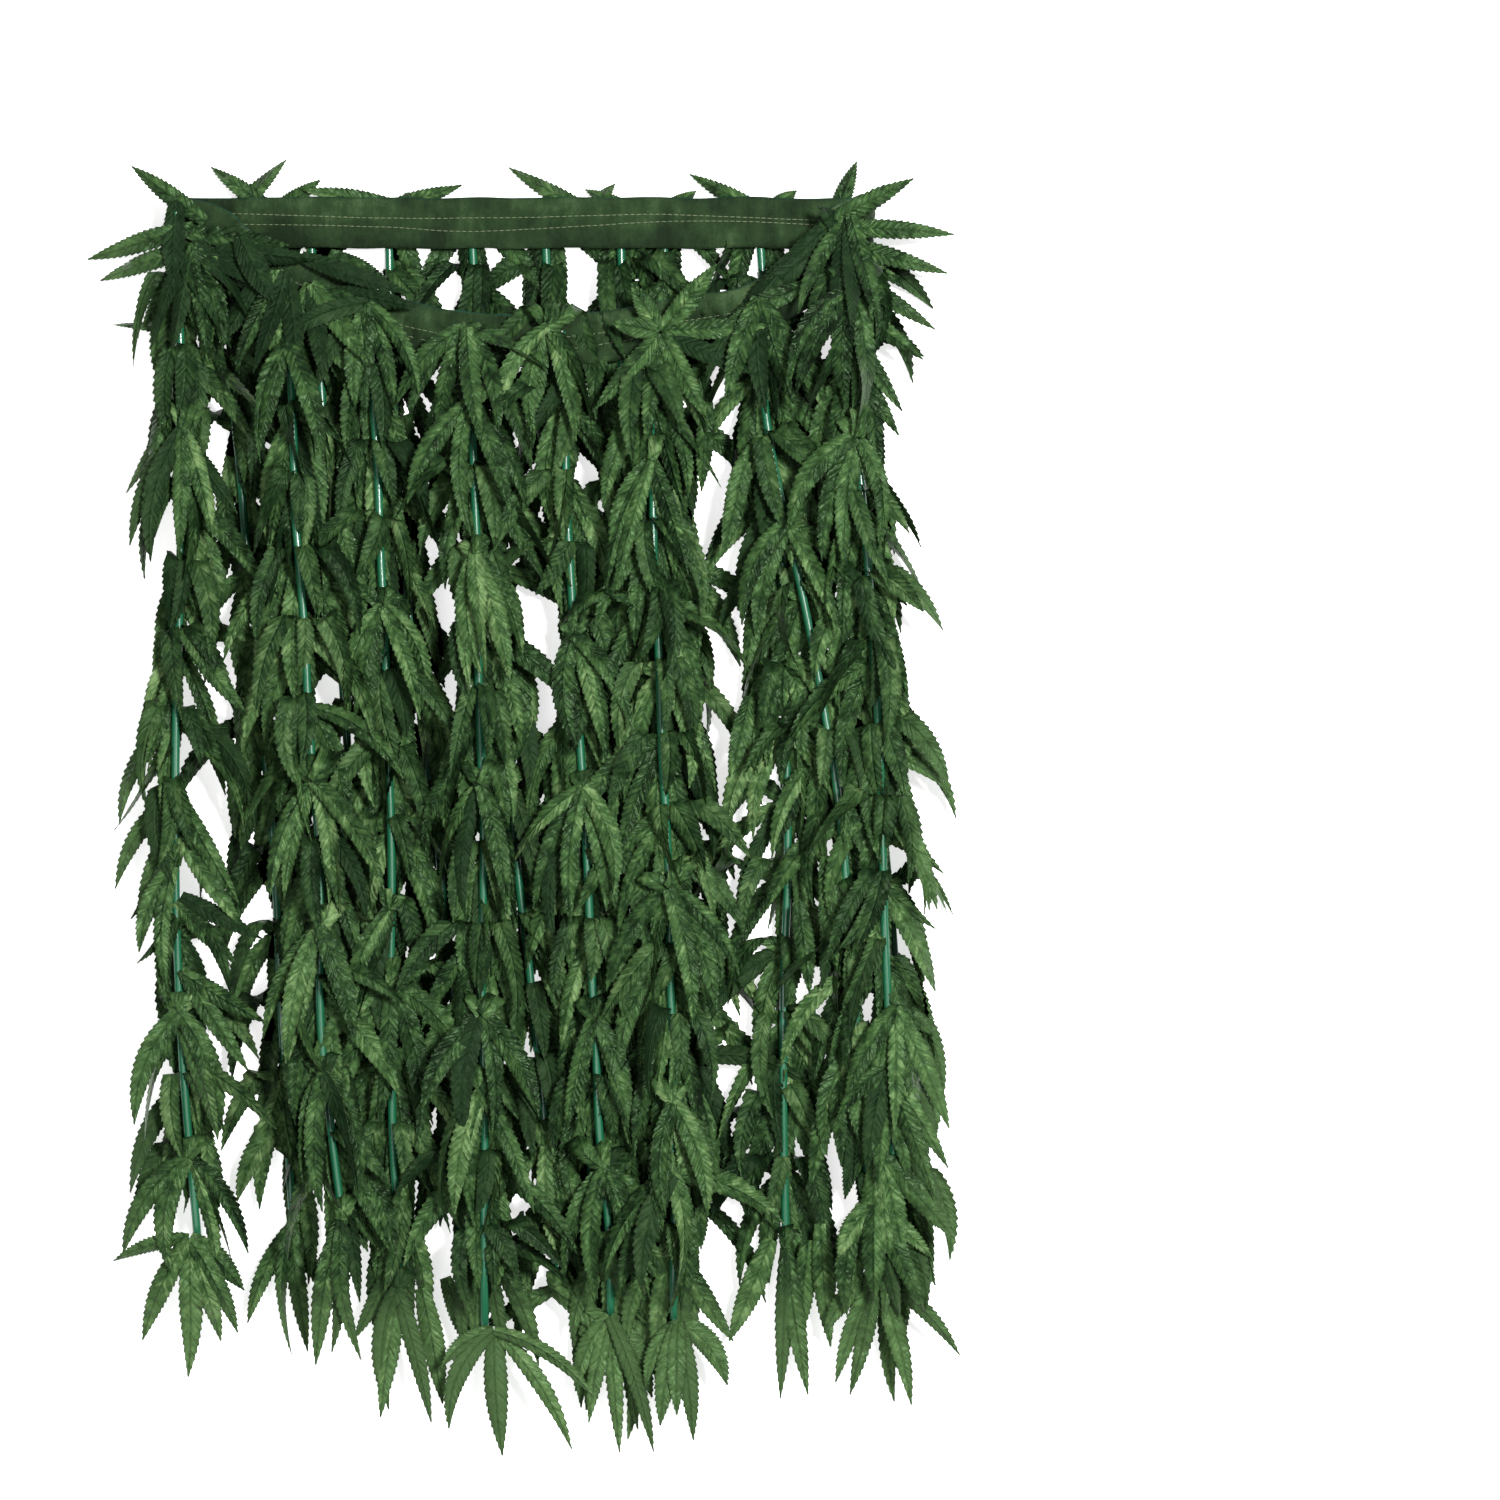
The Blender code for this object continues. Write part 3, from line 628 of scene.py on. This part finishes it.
class Garland:
    """The course of one garland, from its top at the band to its last leaf."""

    def __init__(self, row, number):
        self.layer, order, self.level, last, across, self.first_hand = row
        self.key = f"{self.layer}_{order}"
        self.across_at = [value * MM for value in across]
        self.last = last * MM
        if self.layer == "front":
            self.top = front_band_down(self.across_at[0]) - 0.5 * HUB_BLOCK
            self.ramp_start = self.top + FRONT_CLIMB
            self.base = FRONT_HEIGHT
        else:
            self.top, self.ramp_start, self.base = BACK_TOP, BAND_WIDTH + 2 * HUB_BLOCK, 0.0
        self.number = number
        self.draw = random.Random(FIRST_SEED + number)

    def across(self, down):
        return through(STATIONS, self.across_at, down)

    def height(self, down):
        return self.base + self.level * LEVEL_HEIGHT * ease((down - self.ramp_start) / LEVEL_RAMP)

    def lean(self, down):
        """The way the stem runs here, as an angle off straight down."""
        return math.atan2(self.across(down + LEAF_PITCH) - self.across(down), LEAF_PITCH)

    def leaf_places(self):
        count = round((self.last - self.top) / LEAF_PITCH)
        pitch = (self.last - self.top) / count
        return [self.top + k * pitch for k in range(count)] + [self.last]


def droop(across, down, height):
    """Lets what reaches past the skirt's sides and hem sink towards the ground."""
    past = max(SKIRT_LEFT - across, across - SKIRT_RIGHT, down - SKIRT_HEM, 0.0)
    lowered = height * (1 - DROOP * ease(past / DROOP_RUN))
    return min(max(lowered, FLOOR_GAP), CEILING)


def blade_width(share):
    """Half width of a leaflet at a share of its length, as a share of the widest."""
    if share < WIDEST_AT:
        return ROOT_WIDTH + (1 - ROOT_WIDTH) * math.sin(math.pi / 2 * share / WIDEST_AT)
    return 1 - ((share - WIDEST_AT) / (1 - WIDEST_AT)) ** BLUNTNESS


class Hand:
    """One hand of leaflets, folded over its tube unless it lies open."""

    def __init__(self, course, down, in_front, tilt=0.0, fold=0.0, is_open=False):
        self.course = course
        self.down = down
        self.across = course.across(down)
        self.in_front = in_front
        self.tilt = math.radians(tilt)
        self.fold = fold
        self.is_open = is_open
        self.lean = 0.0 if is_open else course.lean(down)

    def folded(self, x, y, z):
        """Wraps what lies above the fold line round the tube; y points down the stem."""
        u, v = rotated(x, y, self.tilt)
        side = 1 if self.in_front else -1
        past = -1.0 if self.is_open else -self.fold - v
        underside = 0.0
        if past <= 0:
            tall = side * FOLD_RADIUS + z
        else:
            round_fold = math.pi * FOLD_RADIUS
            swing = min(past / round_fold, 1.0) * math.pi
            reach = (FOLD_RADIUS + side * z) * math.sin(swing)
            v = -self.fold - reach + max(past - round_fold, 0.0)
            tall = side * (FOLD_RADIUS + side * z) * math.cos(swing)
            underside = ease(past / round_fold)
        return *rotated(u, v, -self.tilt), tall, underside

    def laid(self, x, y, z, climb):
        """Where a point of the flat hand comes to lie on the skirt, and whether it is turned over."""
        x, y, tall, underside = self.folded(x, y, z)
        aside, along = rotated(x, y, self.lean)
        across, down = self.across + aside, self.down + along
        height = self.course.height(down) + STEM / 2 + tall
        height += climb if tall > 0 else climb * CLIMB_BEHIND
        return on_skirt(across, down, droop(across, down, height)), underside


def is_kept_open(across, down, reach):
    """Whether a leaflet that reaches this far to each side would close an opening or pass the outline."""
    for x, y, wide, tall in OPENINGS:
        aside, along = (across - x * MM) / (wide * MM + reach), (down - y * MM) / (tall * MM + reach / 2)
        if aside**2 + along**2 < 1:
            return True
    places, lefts, rights = columns(OUTLINE)
    left, right = through(places, lefts, down), through(places, rights, down)
    return across < left - OUTLINE_SLACK or across > right + OUTLINE_SLACK


def runs_into(hand, shape):
    angle, length, width, bend = shape[:4]
    for share in CLEARING_STEPS:
        middle = math.radians(angle + bend * share / 2)
        x, y = share * length * math.sin(middle), share * length * math.cos(middle)
        spot = hand.laid(x, y, 0.0, 0.0)[0]
        if is_kept_open(spot.x - MIDDLE, TOP_EDGE - spot.y, width * blade_width(share) * CLEARING_WIDTH):
            return True
    return False


def kept_clear(hand, rows):
    """The leaflets turned away from the openings; one that can't be is tucked away."""
    kept = []
    for angle, length, *rest in rows:
        trials = [
            (angle + turn, length * share, *rest) for share in CLEARING_LENGTHS for turn in CLEARING_TURNS
        ]
        kept.append(next((trial for trial in trials if not runs_into(hand, trial)), None))
    return [shape for shape in kept if shape]


def toothed(side, share, width):
    """Half width of a leaflet at one row of its edge, and how far a tooth leans ahead there."""
    row = round(share * BLADE_ROWS)
    half = width * blade_width(share)
    if side and 2 < row < BLADE_ROWS and row % 2:
        return half, TOOTH_LEAN
    if side:
        half = max(half - TOOTH_DEPTH * min(half / width, 1.0), 0.0)
    return half, 0.0


def painted_edge_light(spot):
    """How far a place is out past the skirt's edges, from 0 to 1: the share of painted light that leaflets
    there get.
    """
    across, down = spot.x - MIDDLE, TOP_EDGE - spot.y
    past = max(SKIRT_LEFT - across, across - SKIRT_RIGHT) + PAINTED_LIGHT_MARGIN
    return ease(max(past, down - SKIRT_HEM, -down) / PAINTED_LIGHT_RUN)


def crumpled(draw, angle, length, closing=CLOSING):
    """One leaflet of a hand, with its own width, bend, roll, keel and dip."""
    width = BLADE_HALF_WIDTH * (1 + draw.uniform(-WIDTH_SPREAD, WIDTH_SPREAD))
    bend = -closing * math.sin(math.radians(angle)) + draw.uniform(-BEND_SPREAD, BEND_SPREAD)
    if abs(angle) > 90:
        bend = -bend
    roll = draw.uniform(-ROLL_SPREAD, ROLL_SPREAD)
    if draw.random() < EDGE_ON_SHARE:
        roll = draw.choice((-1, 1)) * EDGE_ON_ROLL
    return (angle, length, width, bend, roll, draw.uniform(*KEEL), draw.uniform(*DIP))


def hanging_leaflets(draw, in_front, wide, is_last):
    """The leaflets of a hand on the tube, cut alike and crumpled apart."""
    turn = draw.uniform(-HAND_TURN, HAND_TURN)
    openness = draw.uniform(*OPENNESS) * wide
    is_parted = draw.random() < PARTED_SHARE and not is_last
    missing, spread = (LAST_MISSING, LAST_SPREAD) if is_last else (MISSING_SHARE, LENGTH_SPREAD)
    rows = []
    for angle, share in HAND:
        if draw.random() < missing and abs(angle) < NEVER_MISSING:
            continue
        if abs(angle) > 90:
            angle = math.copysign(180 - (180 - abs(angle)) * openness, angle)
        else:
            angle *= openness
        angle += turn + draw.uniform(-ANGLE_SPREAD, ANGLE_SPREAD)
        if is_parted:
            apart = max(abs(angle), PARTING) if in_front else min(abs(angle), 180 - PARTING)
            angle = math.copysign(apart, angle)
        length = BLADE_LENGTH * share * (1 + draw.uniform(-spread, spread))
        rows.append(crumpled(draw, angle, length))
    return rows


def last_leaflets(draw, leaflets):
    """The leaflets of a last hand that lies open on the ground."""
    rows = []
    for angle, length, bend in leaflets:
        angle, length, width, _, roll, keel, dip = crumpled(draw, angle, length * MM)
        rows.append((angle, length, width, bend, roll * SPREAD_ROLL, abs(keel), dip))
    return rows


def top_shade(down):
    """How much darker leaflets are near the band."""
    return TOP_SHADE * (1 - ease(down / TOP_SHADE_RUN))


def open_hand(course, across, down, in_front=True):
    """A hand that lies open with its root at a place of its own."""
    hand = Hand(course, down, in_front, is_open=True)
    hand.across = across
    return hand


def next_hand(course, number, down, from_hem):
    """The hand at one place on the tube, and its leaflets."""
    draw, key = course.draw, course.key
    in_front = draw.random() < IN_FRONT_SHARE or from_hem == 1
    tilt, fold = draw.uniform(-FOLD_TILT, FOLD_TILT), draw.uniform(*FOLD_ABOVE)
    spread = LAST_HANDS.get(key, [])
    if from_hem <= len(spread):
        across, down, leaflets = spread[-from_hem]
        return open_hand(course, across * MM, down * MM), last_leaflets(draw, leaflets)
    if number == 0 and course.first_hand is not None:
        hand = open_hand(course, course.across(down), down, course.layer == "front")
        rows = [crumpled(draw, angle, length * MM, FIRST_CLOSING) for angle, length in course.first_hand]
    else:
        hand = Hand(course, down, in_front, tilt, fold)
        wide = LAST_OPENNESS if from_hem == 1 else WIDE_OPEN.get(key, 1.0)
        rows = hanging_leaflets(draw, in_front, wide, from_hem == 1)
    if number == 0:
        hand.across, hand.down = FIRST_PLACES.get(key, (hand.across, hand.down))
    return hand, kept_clear(hand, rows)


def spread_flat(faces, layer, spots):
    """Smooths cloth and notes where its corners lie on the flat piece."""
    for face in faces:
        face.smooth = True
        for loop in face.loops:
            loop[layer].uv = [value * UV_SCALE for value in spots[loop.vert]]


class Leaves:
    """The leaflets of one garland, in one mesh that keeps their tones and their places on a flat blade."""

    def __init__(self, course):
        self.course = course
        self.bm = bmesh.new()
        self.tones = self.bm.verts.layers.float_color.new("leaf_tone")
        self.blades = self.bm.loops.layers.uv.new("blade")

    def add(self, hand, shape, stack, tone, seed, turned_over):
        """One toothed leaflet of a hand: a strip of cloth, shaped row by row, folded and laid."""
        angle, length, width, bend, roll, keel, dip = shape
        start, swing, turned = map(math.radians, (angle, bend, roll))
        made = bmesh.ops.create_grid(self.bm, x_segments=2, y_segments=BLADE_ROWS, size=1.0)["verts"]
        spots = {}
        for vert in made:
            side, share = vert.co.x, (vert.co.y + 1) / 2
            half, ahead = toothed(side, share, width)
            aside = side * half
            along = share * length + ahead
            middle = start + swing * share / 2
            way = start + swing * share
            spun = turned * ease(share * ROLL_RATE)
            x = along * math.sin(middle) + aside * math.cos(way) * math.cos(spun)
            y = along * math.cos(middle) - aside * math.sin(way) * math.cos(spun)
            ripple = noise.noise((x / RIPPLE_LENGTH, y / RIPPLE_LENGTH, seed)) * RIPPLE
            z = stack + aside * math.sin(spun) + ripple * share - abs(aside) * keel + dip * along
            spots[vert] = (aside, along)
            vert.co, underside = hand.laid(x, y, z, SHINGLE * ease(along / SHINGLE_RUN))
            dark = max(underside * FOLDED_DARK, turned_over)
            # Tone, dark side, share of painted edge light, and how far across the blade, which sets the
            # painted rim shadow
            vert[self.tones] = (tone, dark, painted_edge_light(vert.co), abs(side))
        spread_flat({face for vert in made for face in vert.link_faces}, self.blades, spots)

    def add_hands(self):
        """The hands threaded on the tube, from the band to the hem."""
        course, draw = self.course, self.course.draw
        places = course.leaf_places()
        for number, down in enumerate(places):
            hand, rows = next_hand(course, number, down, len(places) - number)
            mood = draw.uniform(*MOOD) - top_shade(down)
            draw.shuffle(rows)
            dark_share = DARK_FIRST_SHARE if number == 0 and course.key in DARK_FIRST else TURNED_SHARE
            for order, shape in enumerate(rows):
                tone = mood + draw.uniform(-TONE_SPREAD, TONE_SPREAD)
                stack = order * STACK if hand.in_front else -order * STACK * UNDER_STACK
                turned_over = float(draw.random() < dark_share)
                seed = course.number * GARLAND_SEED + number * HAND_SEED + order
                self.add(hand, shape, stack, tone, seed, turned_over)

    def add_single(self, across, down, height, shape, tone, seed, turned_over=0.0):
        """A leaflet with a root of its own, at a height above the ground."""
        hand = open_hand(self.course, across * MM, down * MM)
        stack = height - self.course.height(down * MM) - STEM / 2 - FOLD_RADIUS
        self.add(hand, shape, stack, tone, seed, turned_over)

    def add_loose(self):
        draw = self.course.draw
        for order, row in enumerate(LOOSE_LEAFLETS.get(self.course.key, [])):
            across, down, angle, length, height, roll, wide, tone, *turned_over = row
            bend, keel = draw.uniform(-LOOSE_BEND, LOOSE_BEND), draw.uniform(*LOOSE_KEEL)
            shape = (angle, length * MM, BLADE_HALF_WIDTH * wide, bend, roll, keel, 0.0)
            tone -= top_shade(down * MM)
            seed = self.course.number * GARLAND_SEED + order
            self.add_single(across, down, height * MM, shape, tone, seed, *turned_over)

    def add_crown(self):
        draw = self.course.draw
        for order, (across, down, angle, length, roll) in enumerate(CROWN_LEAFLETS.get(self.course.key, [])):
            bend, keel = draw.uniform(-CROWN_BEND, CROWN_BEND), draw.uniform(*KEEL)
            shape = (angle, length * MM, BLADE_HALF_WIDTH * CROWN_WIDTH, bend, roll, keel, 0.0)
            tone = draw.uniform(*CROWN_TONE)
            self.add_single(across, down, CROWN_HEIGHT, shape, tone, self.course.number * CROWN_SEED + order)


def make_leaves(course, material):
    """All the leaf hands of one garland, as one piece of cloth."""
    leaves = Leaves(course)
    leaves.add_hands()
    leaves.add_loose()
    leaves.add_crown()
    piece = mesh_piece(leaves.bm, "leaves_" + course.key, material)
    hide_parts("garland_" + course.key)
    return piece


def make_tube(course, material):
    """The garland's plastic tube: a ring, drawn on from section to section."""
    bm = bmesh.new()
    end = course.last
    if course.key in LAST_HANDS:
        end = LAST_HANDS[course.key][-1][1] * MM
    count = round((end - course.top) / TUBE_STEP)
    bmesh.ops.create_circle(bm, cap_ends=True, segments=TUBE_SIDES, radius=STEM / 2)
    cap = bm.faces[:][0]

    def middle(down):
        wave = noise.noise((down / WANDER_LENGTH, course.number * WANDER_SEED, 0.0))
        across = course.across(down) + TUBE_WANDER * wave
        height = droop(across, down, course.height(down) + STEM / 2)
        return on_skirt(across, down, max(height, STEM / 2))

    spots = [middle(course.top + (end - course.top) * k / count) for k in range(count + 1)]
    for vert in bm.verts:
        vert.co = spots[0] + Vector((vert.co.x, 0, vert.co.y))
    for old, new in zip(spots, spots[1:]):
        cap = bmesh.ops.extrude_discrete_faces(bm, faces=[cap])["faces"][0]
        bmesh.ops.translate(bm, verts=list(cap.verts), vec=new - old)
    face_outwards(bm)
    for face in bm.faces:
        face.smooth = len(face.verts) == 4
    piece = mesh_piece(bm, "tube_" + course.key, material)
    return piece


def face_outwards(bm):
    bmesh.ops.recalc_face_normals(bm, faces=bm.faces)


def new_object(name, data):
    made = bpy.data.objects.new(name, data)
    scene.collection.objects.link(made)
    return made


def mesh_object(bm, name, material):
    mesh = bpy.data.meshes.new(name)
    bm.to_mesh(mesh)
    bm.free()
    mesh.materials.append(material)
    return new_object(name, mesh)


def mesh_piece(bm, name, material):
    piece = mesh_object(bm, name, material)
    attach(piece, "root")
    return piece


# Waistband


class Band:
    """A half of the waistband, as sections along its middle line."""

    def __init__(self, layer, sections, seams, crumple):
        self.layer = layer
        self.crumple = crumple
        self.sections = sections  # each a middle, the way across and the way up
        self.seams = seams  # two rows of stitching, as functions of the distance along
        self.along = [0.0]
        for old, new in zip(sections, sections[1:]):
            self.along.append(self.along[-1] + (new[0] - old[0]).length)

    def relief(self, distance, aside):
        """How far the cloth stands off the casing's middle, with gathers and sunk seams."""
        share = aside / (BAND_WIDTH / 2)
        crown = CASING_CROWN * (1 - share**4)
        wave = noise.noise((distance / GATHER_LENGTH, share * 0.7, WAVE_SEED))
        slack = noise.noise((distance / SLACK_LENGTH, share * 1.4, SLACK_SEED))
        sunk = sum(math.exp(-(((aside - seam(distance)) / SEAM_HALF_WIDTH) ** 2)) for seam in self.seams)
        fold = abs(noise.noise((distance / CRUMPLE_LENGTH + share * 0.6, share * 1.1, FOLD_SEED)))
        fold += 0.5 * abs(noise.noise((distance / CRUMPLE_LENGTH * 2.3, share * 2.4, CREASE_SEED)))
        sunk_seam = SEAM_DEPTH * min(sunk, 1.0)
        return crown + GATHER * (wave + slack) - sunk_seam - self.crumple * min(fold * 1.6, 1.0)

    def place(self, distance, aside, lift=0.0):
        """A point on the casing: aside is from its middle line towards the waist."""
        distance = min(max(distance, 0.0), self.along[-1])
        i = max(k for k in range(len(self.along) - 1) if self.along[k] <= distance)
        t = (distance - self.along[i]) / (self.along[i + 1] - self.along[i])
        middle, across, up = (a.lerp(b, t) for a, b in zip(self.sections[i], self.sections[i + 1]))
        height = BAND_WALL / 2 + self.relief(distance, aside) - CASING_CROWN / 2 + lift
        wave = EDGE_WAVE * noise.noise((distance / EDGE_WAVE_LENGTH, EDGE_SEED, 0.0))
        edge = wave * abs(aside) / (BAND_WIDTH / 2)
        return middle + across.normalized() * (aside * TAKEN_UP + edge) + up.normalized() * height


def band_steps(left, right):
    """Places across the skirt, from one end of the band to the other."""
    count = round((right - left) / BAND_STEP)
    return [left + (right - left) * k / count for k in range(count + 1)]


def back_band():
    height = BACK_BAND_HEIGHT + BAND_WALL / 2
    middles = [on_skirt(across, BAND_WIDTH / 2, height) for across in band_steps(BAND_LEFT, BAND_RIGHT)]

    def stitched(points):
        return lambda distance: through(*columns(points), distance)

    sections = [(middle, TO_WAIST, UP) for middle in middles]
    return Band("back", sections, [stitched(points) for points in BACK_SEAMS], 0.0)


def front_band():
    """Up round the left fold, along the sagging line and down round the right fold."""
    low = BACK_BAND_HEIGHT + BAND_WALL / 2
    high = FRONT_BAND_HEIGHT + BAND_WALL / 2
    radius = (high - low) / 2

    def fold(edge, side, turn):
        swing = math.pi * turn
        away = Vector((side * math.sin(swing), 0, -math.cos(swing)))
        return (on_skirt(edge, BAND_WIDTH / 2, low + radius) + away * radius, TO_WAIST, away)

    left, right = BAND_LEFT - BAND_CLEARANCE, BAND_RIGHT + BAND_CLEARANCE
    sections = [fold(left, -1, k / FOLD_PARTS) for k in range(FOLD_PARTS + 1)]
    for across in band_steps(left, right)[1:-1]:
        down = front_band_down(across)
        slope = (front_band_down(across + BAND_STEP) - front_band_down(across - BAND_STEP)) / (2 * BAND_STEP)
        along = Vector((1, -slope, 0)).normalized()
        sections.append((on_skirt(across, down, high), Vector((-along.y, along.x, 0)), UP))
    sections += [fold(right, 1, 1 - k / FOLD_PARTS) for k in range(FOLD_PARTS + 1)]

    def stitched(above, sway, run):
        return lambda distance: above * MM + sway * MM * math.sin(distance / (run * MM))

    return Band("front", sections, [stitched(*seam) for seam in FRONT_SEAMS], CRUMPLE)


def make_band(band, material):
    """The casing as a thin closed shell: outer cloth, turned edges and the layer beneath."""
    bm = bmesh.new()
    rows = len(band.sections) - 1
    made = bmesh.ops.create_grid(bm, x_segments=BAND_PARTS, y_segments=rows, size=1.0)["verts"]
    spots = {}
    for vert in made:
        aside = vert.co.x * BAND_WIDTH / 2
        row = round((vert.co.y + 1) / 2 * rows)
        distance = band.along[row]
        spots[vert] = (distance, aside)
        vert.co = band.place(distance, aside)
    spread_flat(bm.faces, bm.loops.layers.uv.new("casing"), spots)
    face_outwards(bm)
    if sum(face.normal.z for face in bm.faces) < 0:
        bmesh.ops.reverse_faces(bm, faces=bm.faces)
    bmesh.ops.solidify(bm, geom=bm.faces[:], thickness=BAND_WALL * SHELL_SHARE)
    face_outwards(bm)
    piece = mesh_piece(bm, "casing_" + band.layer, material)
    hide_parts("waistband_" + band.layer)
    return piece


def make_stitches(band, material, start, end):
    """Two rows of short stitches sunk into the casing's seams."""
    bm = bmesh.new()
    for seam in band.seams:
        for k in range(int((end - start) / STITCH_PITCH)):
            distance = start + k * STITCH_PITCH
            here = band.place(distance, seam(distance), THREAD_RISE)
            ahead = band.place(distance + STITCH, seam(distance + STITCH), THREAD_RISE)
            made = bmesh.ops.create_icosphere(bm, subdivisions=1, radius=1.0)["verts"]
            along = (ahead - here) / 2
            side = along.cross(UP).normalized() * THREAD / 2
            up = side.cross(along).normalized() * THREAD / 2
            for vert in made:
                x, y, z = vert.co
                vert.co = (here + ahead) / 2 + along * x + side * y + up * z
    for face in bm.faces:
        face.smooth = True
    face_outwards(bm)
    piece = mesh_piece(bm, "stitching_" + band.layer, material)
    return piece


# Camera, floor and lights

VIEW_ACROSS = 108 * MM  # the view's middle on the skirt
VIEW_DOWN = 265.5 * MM
VIEW_SIZE = 720 * MM  # width of the view, at this height in the skirt
VIEW_HEIGHT = 10 * MM
LENS = 100.0
SENSOR = 36.0
FLOOR_SIZE = 3.0
SKY_STRENGTH = 0.17
# Lights that face the skirt's middle: place (m), size (m) and power (W)
LIGHTS = {"key": ((0.75, 0.45, 1.8), 0.35, 60.0), "fill": ((-0.6, -0.5, 1.9), 1.4, 14.0)}


def set_camera():
    data = bpy.data.cameras.new("camera")
    data.lens = LENS
    data.sensor_width = SENSOR
    camera = new_object("camera", data)
    camera.location = on_skirt(VIEW_ACROSS, VIEW_DOWN, VIEW_SIZE * LENS / SENSOR + VIEW_HEIGHT)
    scene.camera = camera


def add_light(name, spot, size, power):
    data = bpy.data.lights.new(name, "AREA")
    data.size = size
    data.energy = power
    light = new_object(name, data)
    light.location = spot
    light.rotation_mode = "QUATERNION"
    light.rotation_quaternion = Vector(spot).to_track_quat("Z", "Y")


def set_studio():
    bm = bmesh.new()
    bmesh.ops.create_grid(bm, x_segments=1, y_segments=1, size=FLOOR_SIZE / 2)
    mesh_object(bm, "floor", make_floor_paper())
    world = bpy.data.worlds.new("studio")
    scene.world = world
    world.use_nodes = True
    sky = world.node_tree.nodes["Background"]
    sky.inputs["Color"].default_value = (1.0, 1.0, 1.0, 1.0)
    sky.inputs["Strength"].default_value = SKY_STRENGTH
    scene.view_settings.view_transform = "Standard"
    for name, light in LIGHTS.items():
        add_light(name, *light)


# The skirt

set_camera()
leaf_satin = make_leaf_satin()
stem_plastic = make_stem_plastic()
band_cloth = make_band_cloth()
band_thread = make_band_thread()

for band, stitched in ((back_band(), BACK_STITCHED), (front_band(), FRONT_STITCHED)):
    casing = make_band(band, band_cloth)
    stitching = make_stitches(band, band_thread, *stitched)

rows = [(layer, order, *row) for layer in GARLANDS for order, row in enumerate(GARLANDS[layer], 1)]
for number, row in enumerate(rows):
    course = Garland(row, number)
    leaves = make_leaves(course, leaf_satin)
    tube = make_tube(course, stem_plastic)

set_studio()
